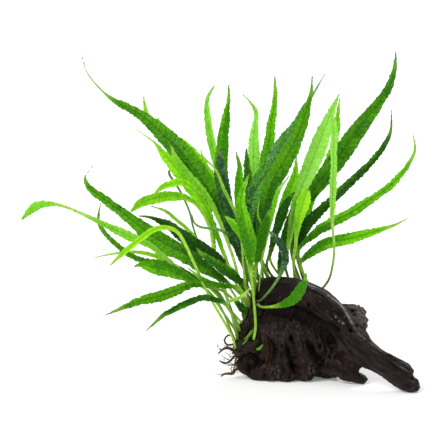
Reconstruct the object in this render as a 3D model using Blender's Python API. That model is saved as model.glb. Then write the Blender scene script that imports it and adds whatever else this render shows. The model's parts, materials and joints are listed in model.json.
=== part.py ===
"""Java fern growing on a piece of driftwood.

Units are metres, +Z up, origin on the flat underside of the wood, front of the plant towards -Y.
Lists of points are in millimetres and are turned into metres by MM.
Heights in the lists are sighted heights: the height at which a point is seen against the plane
y = 0 by someone looking down at SIGHT_TILT. standing() turns a sighted height into a true one, so a
frond can be moved nearer or farther without changing the outline of the clump.
"""

import math

import bmesh
import bpy
import numpy as np
from mathutils import Matrix, Vector
from mathutils.bvhtree import BVHTree

MM = 0.001
SIGHT_TILT = math.radians(12.0)
GAP = 0.30              # mm between pieces that touch
BLADE_THICK = 0.85      # mm at the midrib
STALK_THICK = 1.7       # mm, a little under a stalk's width
FOLD = 0.16             # how far a blade's margins lift, per half width
RIB_SHARE = 0.60        # share of the thickness below the blade
FROND_RINGS = 14
BEND_WEIGHT = 9.0       # how strongly rings crowd into tight bends
STATION_STEP = 2.4      # mm between the stations used to keep fronds apart
CLEARANCE = 0.75        # mm of air wanted between neighbouring fronds
SETTLE_ROUNDS = 260
WALL_ROOM = 1.6         # mm of air between a frond and the wood
LEAN = 0.35             # how far a stalk leans towards its blade's depth where it leaves the stem
FOOT_WIDTH = 2.0        # mm, width of a stalk where it leaves the stem
TIP_WIDTH = 0.4         # mm, least width of a frond
STALK_TO_BLADE = (2.4, 3.0)         # mm, width at which a stalk starts to flatten, and over how much
THIN_EDGE = (0.25, 0.70)            # mm and share of the width that a narrow part is thick
STEEPEST = 0.6          # least cosine used when a turned blade is widened to keep its outline
LOOSEN = (0.01, 30)     # share of a frond that stays put at its foot, and how soon the rest is free
SPLINE_STEPS = 24

STEM_RADIUS = 3.4       # mm, creeping stem
STEM_SIDES = 8
STEM_RINGS = 26
STEM_SWELL = 0.10       # how much the stem swells and thins from joint to joint

WOOD_COLOUR = (0.020, 0.012, 0.010, 1.0)
STEM_COLOUR = (0.045, 0.030, 0.014, 1.0)
ROOT_COLOUR = (0.060, 0.030, 0.014, 1.0)
LEAF_ROUGHNESS = 0.35

# Creeping stem: x, y, true height.
STEM_PATH = [(-41, -7, 22), (-38, -8, 33), (-34, -7, 45), (-29.5, -2, 57), (-27, 9, 63),
             (-18, 22.5, 66), (-4, 27, 66), (12, 29, 63), (30, 29, 58)]
# Short branch of the stem in front of the wood's left side.
BRANCH_PATH = [(-36.5, -18.5, 25), (-31, -21.5, 29), (-26, -22, 34)]
BRANCH_RADII = [1.6, 2.3, 2.6, 2.5, 2.4, 2.0, 1.2]
BRANCH_REACH = 2.6      # mm from the branch's axis to a stalk's foot
ROOT_RINGS = 10
ROOT_SIDES = 5

# Wood limbs: x, y, true height, half width, half height.
CROWN = [(-27, 6, 67, 7, 8), (-21, 6, 66.5, 12, 12.5), (-9, 4.5, 66, 15, 14), (5, 2, 64, 16, 15),
         (19, -2, 58.5, 16, 16.5), (33, -11, 50, 15, 17.5), (44, -20, 41, 13.5, 17)]
ARM = [(33, -11, 50, 15, 17.5), (44, -20, 41, 13.5, 17), (54, -30, 32, 12, 15.5),
       (63, -37.5, 25, 10.5, 11.5), (72, -43, 20.8, 10, 9.8), (81, -48, 17.5, 10.5, 11.5),
       (90, -53, 12.8, 10.5, 12.2), (97, -56.5, 8.5, 8.5, 9.5), (101, -58, 4, 4, 4)]
PRONG = [(22, -13, 19, 11, 12), (35, -20, 13.5, 9.5, 10), (46, -25.5, 9.5, 8.5, 8.3),
         (55, -29, 6, 7, 6), (62, -31, 2.5, 4.5, 3.5)]
STUB = [(22, 12, 34, 12, 18), (38, 12, 41, 11, 15), (50, 11.5, 44, 9.5, 13.5),
        (58, 11, 43, 8, 12), (62.5, 10.5, 41, 5, 8)]
# Lumps of the lower mass: centre x, y, height; radii x, y, z.
LUMPS = [(0, -2, 27, 27, 27, 30), (-13, -9, 31, 14, 17, 24), (-16, -17, 11, 9, 9, 15),
         (-2, -20, 13, 9, 10, 16), (12, -19, 14, 9, 10, 16), (22, -7, 26, 20, 20, 25),
         (-33, -9, 10.5, 11, 9, 8.5), (-23, -14, 4, 10, 9, 7), (6, 17, 20, 27, 15, 22),
         (30, -8, 14, 14, 16, 15), (-14, 6, 44, 12, 15, 16)]
WOOD_VOXEL = 3.0        # mm
WOOD_SOFTEN = 3
WOOD_FACES = 2450
FORK_POINT = (44, -21)              # the upright cut through arm and prong passes here
FORK_NORMAL = (0.80, -0.60)
ARM_OVER_PRONG = (50, 16.9, 0.75)   # x, height and fall per mm of the cut between arm and prong
STUB_CORNER = (44.5, -1.5)          # corner of the upright cut that frees the stub
STUB_TURN = math.radians(-18)
BEYOND = 300.0                      # mm, farther out than any piece reaches

# Roots: x, y, true height, radius. Each starts at the stem or beside the wood.
ROOTS = {
    "root_curl": [(-44.5, -6, 27, 0.9), (-50, -7, 26.5, 1.0), (-52.5, -7, 30.5, 0.9),
                  (-49.5, -6.5, 34.5, 0.8), (-45.6, -6, 32.8, 0.7), (-46.6, -6, 29.6, 0.5)],
    "root_fork": [(-45.4, -4, 21.5, 1.3), (-49, -5, 23.4, 1.4), (-53, -6, 23.2, 1.1),
                  (-57.5, -7, 19.3, 0.6)],
    "root_low": [(-44.5, -10, 6, 1.5), (-46, -13, 4.5, 1.4), (-52, -15, 4.6, 1.0),
                 (-55.5, -16, 2.6, 0.6)],
    "root_side": [(-44.6, -2, 16, 1.1), (-48.5, -3, 11.8, 1.0), (-52.5, -4, 10.6, 0.8),
                  (-56.5, -5, 13, 0.5)],
}

UPPER, UNDER = 0.0, 180.0


def frond(at, depth, tip, points, roll=0.0, twist=0.0, shows=UPPER, colour=(0.10, 0.30, 0.02),
          foot="stem"):
    """Describe one frond.

    at: share of the creeping stem's length where the stalk leaves it.
    depth: y of the frond halfway along and at its tip.
    tip: (x, sighted height) of the very tip.
    points: (x, sighted height, width) from the stalk's first bend to just before the tip.
    """
    return {"at": at, "depth": depth, "tip": tip, "points": points, "roll": roll, "twist": twist,
            "shows": shows, "colour": colour, "foot": foot}


LIME = (0.33, 0.62, 0.03)
BRIGHT = (0.14, 0.40, 0.02)
MID = (0.07, 0.27, 0.01)
DEEP = (0.035, 0.16, 0.01)
BLUISH = (0.02, 0.11, 0.04)
PALE = (0.28, 0.58, 0.10)

FRONDS = {
    "frond_left_01": frond(0.02, (-34, -44), (-143, 89), [
        (-47, 33, 2.2), (-65, 65, 2.2), (-80, 98, 2.4), (-88.5, 114, 3), (-97, 118.6, 4),
        (-109, 117, 4.8), (-129, 102, 5)], 10, 15, colour=LIME),
    "frond_left_02": frond(0.05, (-13, -24), (-213.8, 125.6), [
        (-60, 62, 2), (-92, 88, 3), (-111, 104, 4.5), (-131, 113, 7), (-154, 124, 3.6),
        (-172, 132.5, 2.4), (-188, 137.5, 3), (-203, 135.5, 7.5)], -20, 20, colour=PALE),
    "frond_left_03": frond(0.33, (-9, -8), (-157, 168), [
        (-49, 74, 3), (-68, 87, 11), (-84, 98, 14), (-98, 105, 16), (-114, 115, 15),
        (-126, 125, 9.5), (-149, 142, 7), (-160.5, 151, 5), (-163.5, 159.5, 1.6)], 18, -40, colour=MID),
    "frond_left_04": frond(0.36, (4, 16), (-121, 128), [
        (-44, 79, 4), (-54, 89, 10), (-68, 100, 13), (-85, 112, 11), (-97, 121, 8),
        (-109, 126.5, 4)], 24, 20, colour=DEEP),
    "frond_left_05": frond(0.16, (-1, -10), (-151, 138), [
        (-60, 69, 3), (-76, 78, 4.5), (-97, 89, 4.5), (-112, 91, 4.5), (-127, 96, 4),
        (-142, 108, 4), (-152, 120, 3), (-153, 129, 2)], -24, 30, colour=MID),
    "frond_left_06": frond(0.19, (10, 6), (-158, 94), [
        (-62, 68, 2), (-76, 78, 3), (-90, 86, 3.5), (-100, 93, 4), (-112, 97, 4),
        (-122, 99, 3.2), (-140, 98, 2)], 20, 10, colour=LIME),
    "frond_left_07": frond(0.11, (-20, -28), (-124.5, 87.5), [
        (-62, 63, 2), (-72, 73.5, 3), (-80, 77.5, 5), (-91, 82.5, 9.5), (-102, 86, 11),
        (-112, 88, 10), (-119, 89.5, 5)], -15, 10, colour=BRIGHT),
    "frond_left_08": frond(0.262, (-26, -50), (-147.5, 49), [
        (-52, 67, 2), (-67, 72, 3), (-78, 73.5, 5), (-90, 69, 7.4), (-104, 64, 8.2),
        (-118, 61, 6.6), (-131, 56, 4)], -22, 25, colour=MID),
    "frond_left_09": frond(0.08, (-38, -60), (-114.5, 37), [
        (-45, 46, 2), (-51, 57, 2.4), (-58.5, 61.5, 5), (-69.5, 63.5, 5.4), (-80, 60, 5.8),
        (-91, 55, 5.6), (-100, 50, 4), (-107, 44, 2.5)], 20, -20, colour=MID),
    "frond_left_10": frond(0.30, (-25, -36), (-81.5, 87), [
        (-40, 70, 2.4), (-52, 72, 5), (-63, 74.5, 5.2), (-71, 78.5, 4)], 15, 0, colour=BRIGHT),
    "frond_left_11": frond(0.39, (-18, -30), (-75, 103.5), [
        (-36, 72, 3), (-43.5, 79, 7), (-53.5, 86, 7.4), (-64, 93.5, 4.8), (-72, 99, 3)],
        -20, 0, colour=MID),
    "frond_left_12": frond(0.22, (-9, -14), (-46, 61.5), [
        (-37, 53, 6), (-41, 57, 5)], 10, 0, colour=DEEP),
    "frond_left_13": frond(0.07, (17, 27), (-128, 132), [
        (-49.5, 61, 2), (-58.5, 91, 2.2), (-62.5, 113, 2.4), (-66.5, 123.5, 2.6),
        (-71.5, 133.5, 3), (-79, 141, 4.4), (-90, 144.5, 8.6), (-104, 143.5, 9.6),
        (-118, 139.5, 8.4)], 28, 10, colour=LIME),
    "frond_left_14": frond(0.13, (24, 10), (-111, 142.5), [
        (-51, 64, 2), (-59.5, 91, 2.4), (-61.5, 109, 4), (-64, 127, 4), (-69, 139, 5),
        (-76, 148, 5.2), (-85, 155, 5.4), (-94.5, 154, 5.6), (-104, 150.5, 4)], -25, 30,
        colour=LIME),
    "frond_left_15": frond(0.27, (30, 36), (-111.5, 136), [
        (-48, 70, 2), (-64, 96, 2), (-78, 113, 3), (-86, 120.5, 3.4), (-100, 132, 2.8)], 20, 0,
        colour=LIME),
    "frond_left_16": frond(0.10, (33, 38), (-94.6, 162), [
        (-54, 70, 1.6), (-70, 100, 1.6), (-77, 116, 1.6), (-79, 127, 1.6), (-83, 137, 1.7),
        (-90, 152, 1.8), (-94, 157, 2), (-97.5, 161.5, 2.2), (-97, 165.5, 2.2),
        (-93.6, 165.4, 2)], 0, 0, colour=DEEP),
    "frond_left_17": frond(0.432, (-6, -24), (-78.5, 129), [
        (-33.5, 89, 2.4), (-37.5, 106, 4), (-43, 110.5, 5), (-49, 113, 3.4), (-57.5, 117.5, 2.4),
        (-69, 118.5, 2.4), (-76, 121.5, 2)], 15, 60, colour=BLUISH),
    "frond_left_18": frond(0.14, (-30, -40), (-31, 73), [
        (-46.5, 50, 1.6), (-50.5, 57.5, 2), (-47, 61, 3), (-41, 62.5, 3), (-36, 66, 2.6)],
        -15, 0, colour=PALE),
    "frond_top_01": frond(0.44, (13, 34), (-167, 257.5), [
        (-38, 90, 3), (-44, 105, 6), (-54.5, 129, 10), (-65.5, 149, 13), (-76, 165, 14.5),
        (-86.5, 178.5, 14.5), (-97.5, 189.5, 13), (-109, 200, 10.4), (-120, 209.5, 7.2),
        (-134.5, 217, 5.6), (-147, 225, 3.8), (-162, 242, 1.8)], -22, 18, colour=MID),
    "frond_top_02": frond(0.305, (24, 30), (-126, 200), [
        (-41, 69, 2), (-49.5, 89, 2.4), (-58.5, 113, 5), (-67, 133, 8), (-76, 147, 9.8),
        (-85, 159, 10.6), (-93.5, 169.5, 9.8), (-101.5, 178.5, 7.2), (-110.5, 189, 3), (-118.5, 194, 1.8)],
        20, -15, colour=LIME),
    "frond_top_03": frond(0.235, (0, 4), (-96, 186.5), [
        (-42, 82, 2.2), (-52, 113, 2.8), (-62.5, 137, 4.2), (-71.5, 150, 5.4), (-81, 160.5, 5.8),
        (-88, 169, 5), (-93.5, 179, 3)], -15, 20, colour=PALE),
    "frond_top_04": frond(0.49, (32, 54), (-106.5, 207), [
        (-41.5, 97, 2.4), (-51, 129, 6), (-58.5, 149, 7.2), (-64, 161.5, 8.4), (-72, 170.5, 9.6),
        (-79, 180, 9.6), (-92, 190.5, 8), (-102, 200, 4)], 25, 20, colour=LIME),
    "frond_top_05": frond(0.52, (42, 66), (-118, 224.5), [
        (-38, 92, 2), (-51, 117, 2.6), (-68, 145, 4), (-88, 172, 5), (-104, 190.5, 5),
        (-113.5, 203, 4.6), (-116.5, 215, 4)], -20, 0, colour=LIME),
    "frond_top_06": frond(0.314, (-13, -28), (-71, 183), [
        (-36, 74, 2), (-37.5, 92, 1.8), (-39.5, 118.5, 2.4), (-43, 129.5, 2.4), (-51, 145.5, 2.6),
        (-55, 154, 2.6), (-58, 162.5, 2.2), (-62, 168, 1.8), (-70.5, 176, 1.6)], 20, 50, colour=BRIGHT),
    "frond_top_07": frond(0.55, (38, 68), (-60.5, 234.5), [
        (-36, 92, 2), (-48, 117, 2.8), (-54.5, 149, 4.4), (-58.5, 169, 5.8), (-62.5, 185, 6.4),
        (-65, 199.5, 5.8), (-67, 212, 4.6), (-65.5, 225, 3.2)], -30, 10, colour=PALE),
    "frond_top_08": frond(0.478, (29, 46), (-49, 234), [
        (-35, 92, 2.6), (-44, 113, 5), (-51, 145, 8.4), (-54.5, 166.5, 9.6), (-54, 181, 9.6),
        (-53, 193.5, 8.8), (-51, 207.5, 5.8), (-49.2, 221, 3.2)], 22, 15, colour=BRIGHT),
    "frond_top_09": frond(0.40, (0, -10), (-55, 181.5), [
        (-34, 72, 2), (-35, 85, 2.6), (-40, 100, 5), (-46.5, 118.5, 9.6), (-51, 137, 10.4),
        (-55, 155, 10.4), (-56.5, 169, 8)], -18, 25, colour=BLUISH),
    "frond_top_10": frond(0.62, (34, 34), (-37.5, 225.5), [
        (-25, 96, 2), (-30, 122, 3), (-31, 145, 3.6), (-29.5, 161, 6), (-28.8, 173, 8.8),
        (-29.2, 182.5, 8.8), (-28.8, 193, 6.6), (-27.6, 203, 4.2), (-27, 211, 3.8),
        (-29.6, 217, 2.6)], 25, 20, shows=UNDER, colour=PALE),
    "frond_top_11": frond(0.58, (39, 48), (-43, 179.5), [
        (-33, 92, 2.4), (-38.5, 121, 6), (-41, 145, 7.2), (-40.5, 157, 6.4), (-40, 166.5, 4.2),
        (-41.5, 174.5, 2.4)], -25, 0, colour=LIME),
    "frond_top_12": frond(0.51, (22, 20), (-34.5, 182), [
        (-27, 90, 2.4), (-30.5, 125, 6), (-32, 145, 7.4), (-33.5, 161, 6.6), (-34.4, 173, 4.6)],
        20, 10, colour=DEEP),
    "frond_top_13": frond(0.66, (44, 60), (-12, 241.5), [
        (-22, 92, 2.4), (-27, 121, 5), (-25, 149, 8.8), (-21, 169, 9.6), (-17.5, 182.5, 8.8),
        (-15.8, 193, 8), (-15.2, 201.5, 7.2), (-13.2, 211, 5.4), (-11.8, 221, 4.2),
        (-11.4, 231, 3)], -22, 20, colour=BRIGHT),
    "frond_top_14": frond(0.565, (11, 22), (28, 242), [
        (-30, 88, 2.6), (-33.5, 109, 6), (-32.5, 131, 9.8), (-28, 148, 12.2), (-21, 158.5, 13.6),
        (-13.5, 170, 13.6), (-8, 182.5, 12), (3, 197, 8), (10.5, 213, 4.2), (17, 223, 2.6)],
        20, 20, colour=BLUISH),
    "frond_top_15": frond(0.60, (3, 8), (17.5, 239.5), [
        (-22.5, 90, 2.6), (-24, 109, 6), (-21, 129, 10.4), (-17, 147, 13), (-12, 160, 14.6),
        (-5.5, 171, 13.8), (1, 182.5, 12), (6.5, 194.5, 10.4), (10.5, 205, 8), (14.4, 217.5, 5),
        (17, 229, 2.4)], -18, -15, colour=MID),
    "frond_right_01": frond(0.735, (14, 18), (39, 225.5), [
        (-4, 90, 2.4), (-1.5, 101, 3), (1.6, 121, 6), (5, 137, 8), (9, 150.5, 9.8),
        (14.5, 163, 12), (20, 177.5, 13), (25.5, 192, 12), (31, 206.5, 8), (35, 216, 4.2)],
        20, 15, shows=UNDER, colour=PALE),
    "frond_right_02": frond(0.80, (42, 56), (40.5, 222.5), [
        (4, 93, 2.2), (14.5, 129, 4), (27, 162, 5), (36.8, 189, 5.8), (38.4, 201, 5),
        (39.2, 213, 3.4)], -25, 0, colour=LIME),
    "frond_right_03": frond(0.945, (-4, -16), (31.5, 211.5), [
        (31.5, 76, 2), (34, 85, 2), (35.6, 97, 2), (35.4, 108, 2), (33.8, 121.5, 2.4),
        (33.6, 130.5, 4), (33.9, 146.5, 5.6), (34.2, 165, 5), (34.4, 183, 5.4), (34, 200, 6)],
        30, 0, shows=UNDER, colour=PALE),
    "frond_right_04": frond(0.82, (30, 62), (86, 261), [
        (2, 96, 2.4), (4.5, 113, 5), (9.6, 133, 8), (17, 146.5, 10.6), (25, 157, 13.6),
        (34.5, 169, 15), (44, 182.5, 15), (53.5, 196, 14.4), (64, 209.5, 10.6), (73, 221, 8),
        (81, 234.5, 6.4), (85, 248, 3.4)], -20, 15, colour=MID),
    "frond_right_05": frond(0.84, (22, 42), (82, 213.5), [
        (5.5, 100, 4), (9, 112, 8), (15, 122.5, 8.8), (22.5, 130, 7.4), (32, 139, 6.6),
        (44.5, 151, 6), (56.5, 162, 5.6), (66.5, 172, 4.8), (76, 185, 4), (81.5, 197, 2.4)],
        25, 15, colour=DEEP),
    "frond_right_06": frond(0.86, (17, 28), (99, 194), [
        (6.5, 98, 3), (15, 109.5, 5.6), (24, 117.5, 8), (33.5, 123, 8.8), (46.5, 129.5, 8.8),
        (60, 138.5, 7.4), (73, 146.5, 6.4), (85, 157, 5.6), (93.5, 167, 4), (100.5, 181, 2.2)],
        -22, 20, colour=BRIGHT),
    "frond_right_07": frond(0.88, (12, 2), (94, 126), [
        (8, 88, 2.4), (14.5, 96, 5.6), (24, 103, 8), (33.5, 107, 8.8), (44, 109, 8.8),
        (56.5, 112, 7.2), (72.5, 117, 4), (87, 122, 1.8)], 20, 25, colour=BRIGHT),
    "frond_right_08": frond(0.77, (2, -3), (14.5, 149.5), [
        (3, 92, 2.2), (4.5, 102, 2.6), (5.2, 113, 3.4), (6.8, 123, 6), (8, 130.5, 8.4),
        (10, 137, 10.6), (12, 144, 10)], -12, 10, colour=LIME),
    "frond_middle_01": frond(0.9, (-31, -42), (-32.5, 161.5), [
        (-27.5, 40, 2), (-28.5, 54.5, 2), (-29.8, 70.5, 2), (-31.2, 85, 2.4), (-31.6, 94.5, 6.4),
        (-32.3, 104, 10.4), (-34.4, 115, 12), (-37.2, 126.5, 10.6), (-39.6, 137, 7.4),
        (-38.8, 145.5, 5.6), (-36, 153.5, 3.2)], 12, 20, colour=BRIGHT, foot="branch"),
    "frond_middle_02": frond(0.38, (-18, -28), (-15, 134.5), [
        (-28, 70.5, 2), (-27.6, 85, 2.4), (-26, 96, 5.6), (-24, 105.5, 8), (-22, 115, 8),
        (-19.6, 123, 6.4), (-17.6, 129.5, 3.4)], -18, 0, colour=BRIGHT),
    "frond_middle_03": frond(0.368, (-16, -26), (-52.5, 128), [
        (-31.5, 80, 2), (-35, 97, 2.4), (-39, 112, 4.8), (-43, 119, 6.4), (-48, 124.5, 4.8)],
        15, 0, colour=LIME),
    "frond_middle_04": frond(0.352, (-25, -36), (-18, 117), [
        (-24, 59.5, 2), (-14.5, 70.5, 2), (-7.2, 82.5, 3.2), (-4.4, 91, 5.2), (-4.6, 99, 5.8),
        (-8, 106, 5.6), (-13, 111.5, 4.8)], -15, 20, colour=BLUISH),
    "frond_middle_05": frond(0.328, (-30, -32), (12.5, 83), [
        (-23, 55, 2), (-14.5, 55.5, 2.4), (-5.5, 57.5, 5), (2.5, 62, 8), (8, 69, 8), (11.6, 76, 4.2)],
        12, 15, colour=BRIGHT),
    "frond_middle_06": frond(0.705, (24, 32), (5.3, 176), [
        (-15.5, 92, 2), (-12.8, 105, 3), (-8.8, 125, 6), (-4.8, 137, 8), (-0.8, 146.5, 8.8),
        (3.2, 157, 7.2), (5, 166.5, 4)], -20, 15, colour=LIME),
    "frond_middle_07": frond(0.54, (-4, -8), (-0.8, 160), [
        (-22.5, 90, 2), (-20, 105, 2.4), (-16.4, 121, 3.2), (-14.2, 130.5, 4.2),
        (-11.6, 141, 4.2), (-9, 149, 3.4)], 25, 20, colour=PALE),
    "frond_middle_08": frond(0.64, (12, 14), (3.6, 147.5), [
        (-18.5, 88, 2), (-16, 97, 3), (-11.2, 115, 6.2), (-7.2, 126.5, 7.4), (-4.3, 134.5, 7.2),
        (-0.8, 141, 4.8)], 18, 10, colour=DEEP),
    "frond_middle_09": frond(0.685, (18, 22), (2.4, 137), [
        (-8.5, 82, 2.4), (-5.6, 101, 6), (-1.6, 121, 6)], -20, 10, colour=MID),
}


def spline(points, count):
    """Catmull-Rom curve through rows of numbers, sampled evenly along the first three columns."""
    rows = np.array(points, dtype=float)
    padded = np.vstack([2 * rows[0] - rows[1], rows, 2 * rows[-1] - rows[-2]])
    dense = []
    for i in range(len(rows) - 1):
        p0, p1, p2, p3 = padded[i:i + 4]
        for t in np.linspace(0.0, 1.0, SPLINE_STEPS, endpoint=False):
            dense.append(0.5 * (2 * p1 + (p2 - p0) * t + (2 * p0 - 5 * p1 + 4 * p2 - p3) * t ** 2
                                + (3 * p1 - p0 - 3 * p2 + p3) * t ** 3))
    dense.append(rows[-1])
    dense = np.array(dense)
    steps = np.linalg.norm(np.diff(dense[:, :3], axis=0), axis=1)
    along = np.concatenate([[0.0], np.cumsum(steps)])
    wanted = np.linspace(0.0, along[-1], count)
    return np.column_stack([np.interp(wanted, along, dense[:, k]) for k in range(dense.shape[1])])


def standing(x, y, sighted):
    """Point in millimetres from its x, y and sighted height."""
    return np.array([x, y, (sighted - y * math.sin(SIGHT_TILT)) / math.cos(SIGHT_TILT)])


def sighted(point):
    """Sighted height of a true point."""
    return point[2] * math.cos(SIGHT_TILT) + point[1] * math.sin(SIGHT_TILT)


def material(name, colour, roughness=0.45):
    """Principled material in one colour."""
    mat = bpy.data.materials.new(name)
    mat.use_nodes = True
    shader = mat.node_tree.nodes["Principled BSDF"]
    shader.inputs["Base Color"].default_value = (*colour[:3], 1.0)
    shader.inputs["Roughness"].default_value = roughness
    mat.diffuse_color = (*colour[:3], 1.0)
    return mat


def place(name, mesh, mat, smooth=True):
    """Put a mesh in the scene as one named piece."""
    obj = bpy.data.objects.new(name, mesh)
    bpy.context.scene.collection.objects.link(obj)
    mesh.materials.clear()
    if mat:
        mesh.materials.append(mat)
    if smooth:
        mesh.shade_smooth()
    return obj


def loft(bm, rings, pointed=False):
    """Skin closed rings of points, in millimetres, into bm; the last end can be one point."""
    made = [[bm.verts.new(Vector(p) * MM) for p in ring] for ring in rings]
    sides = len(made[0])
    for low, high in zip(made, made[1:]):
        for i in range(sides):
            j = (i + 1) % sides
            if len(high) == 1:
                bm.faces.new((low[i], low[j], high[0]))
            else:
                bm.faces.new((low[i], low[j], high[j], high[i]))
    bm.faces.new(list(reversed(made[0])))
    if not pointed:
        bm.faces.new(made[-1])


def limb_rings(stations, sides=14, count=18):
    """Upright oval rings along a limb given as x, y, height, half width, half height."""
    rings = []
    rows = spline(stations, count)
    for i, row in enumerate(rows):
        ahead = rows[min(i + 1, count - 1)][:2] - rows[max(i - 1, 0)][:2]
        ahead = ahead / np.linalg.norm(ahead)
        across = np.array([-ahead[1], ahead[0], 0.0])
        ring = []
        for k in range(sides):
            turn = 2 * math.pi * k / sides
            ring.append(row[:3] + across * row[3] * math.cos(turn)
                        + np.array([0.0, 0.0, row[4] * math.sin(turn)]))
        rings.append(ring)
    return rings


def wood_blank():
    """Whole piece of driftwood in one closed mesh, before it is split at its forks."""
    bm = bmesh.new()
    for limb in (CROWN, ARM, PRONG, STUB):
        loft(bm, limb_rings(limb))
    for x, y, z, rx, ry, rz in LUMPS:
        pose = Matrix.Translation((x * MM, y * MM, z * MM))
        pose = pose @ Matrix.Diagonal((rx * MM, ry * MM, rz * MM, 1.0))
        bmesh.ops.create_icosphere(bm, subdivisions=3, radius=1.0, matrix=pose)
    bmesh.ops.recalc_face_normals(bm, faces=bm.faces)
    mesh = bpy.data.meshes.new("wood_blank")
    bm.to_mesh(mesh)
    bm.free()
    blank = bpy.data.objects.new("wood_blank", mesh)
    bpy.context.scene.collection.objects.link(blank)
    remesh = blank.modifiers.new("fuse", "REMESH")
    remesh.mode = "VOXEL"
    remesh.voxel_size = WOOD_VOXEL * MM
    soften = blank.modifiers.new("soften", "SMOOTH")
    soften.factor = 0.5
    soften.iterations = WOOD_SOFTEN
    bpy.context.view_layer.update()
    evaluated = blank.evaluated_get(bpy.context.evaluated_depsgraph_get())
    faces = len(evaluated.data.polygons) * 2
    thin = blank.modifiers.new("thin", "DECIMATE")
    thin.ratio = min(1.0, WOOD_FACES / faces)
    thin.use_collapse_triangulate = True
    bpy.context.view_layer.update()
    evaluated = blank.evaluated_get(bpy.context.evaluated_depsgraph_get())
    result = bpy.data.meshes.new_from_object(evaluated)
    bpy.data.objects.remove(blank)
    return result


def cutter(name, matrix, low, high):
    """Box from low to high in millimetres, turned by matrix, used only to cut the wood."""
    bm = bmesh.new()
    bmesh.ops.create_cube(bm, size=1.0)
    size = Vector(high) - Vector(low)
    middle = (Vector(high) + Vector(low)) / 2
    bm.transform(matrix @ Matrix.Translation(middle * MM) @ Matrix.Diagonal((*(size * MM), 1.0)))
    mesh = bpy.data.meshes.new(name)
    bm.to_mesh(mesh)
    bm.free()
    obj = bpy.data.objects.new(name, mesh)
    bpy.context.scene.collection.objects.link(obj)
    obj.hide_render = True
    obj.display_type = "WIRE"
    return obj


def cut(obj, tool, keep):
    """Keep only what is inside or outside a cutter."""
    boolean = obj.modifiers.new(tool.name, "BOOLEAN")
    boolean.operation = "INTERSECT" if keep == "inside" else "DIFFERENCE"
    boolean.object = tool


def upright(point, turn):
    """Pose of an upright cut through a point in plan, turned about the vertical."""
    return Matrix.Translation((point[0] * MM, point[1] * MM, 0)) @ Matrix.Rotation(turn, 4, "Z")


def driftwood():
    """Split the wood at its forks and cut it flat where it stands."""
    blank = wood_blank()
    big = BEYOND
    half = GAP / 2
    fork = upright(FORK_POINT, math.atan2(FORK_NORMAL[1], FORK_NORMAL[0]))
    beyond = cutter("cut_beyond_fork", fork, (half, -big, -big), (big, big, big))
    before = cutter("cut_before_fork", fork, (-big, -big, -big), (-half, big, big))
    x, z, fall = ARM_OVER_PRONG
    slope = Matrix.Translation((x * MM, 0, z * MM)) @ Matrix.Rotation(math.atan(fall), 4, "Y")
    above = cutter("cut_above_prong", slope, (-big, -big, half), (big, big, big))
    below = cutter("cut_below_arm", slope, (-big, -big, -big), (big, big, -half))
    corner = upright(STUB_CORNER, STUB_TURN)
    stub_box = cutter("cut_stub", corner, (half, half, -big), (big, big, big))
    stub_room = cutter("cut_stub_room", corner, (-half, -half, -big), (big + 1, big + 1, big + 1))
    stem_room = stem_tube("cut_stem_room", GAP, None)
    stem_room.hide_render = True
    stem_room.display_type = "WIRE"
    ground = cutter("cut_ground", Matrix.Identity(4), (-big, -big, -big), (big, big, 0))
    mat = material("driftwood", WOOD_COLOUR, 0.6)
    plan = {
        "driftwood_body": [(before, "inside"), (stub_room, "outside"), (stem_room, "outside")],
        "driftwood_arm": [(beyond, "inside"), (above, "inside"), (stub_room, "outside")],
        "driftwood_prong": [(beyond, "inside"), (below, "inside"), (stub_room, "outside")],
        "driftwood_stub": [(stub_box, "inside")],
    }
    for name, cuts in plan.items():
        piece = place(name, blank.copy(), mat, smooth=False)
        for tool, keep in cuts:
            cut(piece, tool, keep)
        cut(piece, ground, "outside")
    return blank


def tube(name, path, radii, mat, sides):
    """Round closed tube through a path in millimetres, with a pointed far end."""
    rows = np.column_stack([path, radii])
    rings = []
    side = None
    for i, row in enumerate(rows):
        ahead = Vector(rows[min(i + 1, len(rows) - 1)][:3] - rows[max(i - 1, 0)][:3]).normalized()
        if side is None:
            side = ahead.orthogonal()
        side = (side - ahead * side.dot(ahead)).normalized()
        up = ahead.cross(side)
        ring = []
        for k in range(sides):
            turn = 2 * math.pi * k / sides
            ring.append(Vector(row[:3]) + (side * math.cos(turn) + up * math.sin(turn)) * row[3])
        rings.append(ring)
    bm = bmesh.new()
    loft(bm, rings)
    bmesh.ops.recalc_face_normals(bm, faces=bm.faces)
    mesh = bpy.data.meshes.new(name)
    bm.to_mesh(mesh)
    bm.free()
    return place(name, mesh, mat)


def stem_tube(name, extra, mat):
    """Creeping stem with swollen joints, extra millimetres larger all round."""
    path = spline(STEM_PATH, STEM_RINGS)
    swell = 1.0 + STEM_SWELL * np.sin(np.arange(STEM_RINGS) * 1.9)
    swell[0] = 0.6
    swell[-1] = 0.6
    return tube(name, path, STEM_RADIUS * swell + extra, mat, STEM_SIDES)


def stems():
    """Creeping stem, its branch, and the thick roots."""
    bark = material("stem", STEM_COLOUR, 0.8)
    path = spline(STEM_PATH, STEM_RINGS)
    stem_tube("rhizome", 0.0, bark)
    branch = spline(BRANCH_PATH, len(BRANCH_RADII))
    tube("rhizome_branch", branch, np.array(BRANCH_RADII), bark, STEM_SIDES)
    wiry = material("root", ROOT_COLOUR, 0.7)
    for name, rows in ROOTS.items():
        rows = spline(rows, ROOT_RINGS)
        tube(name, rows[:, :3], rows[:, 3], wiry, ROOT_SIDES)
    return path, branch


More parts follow.
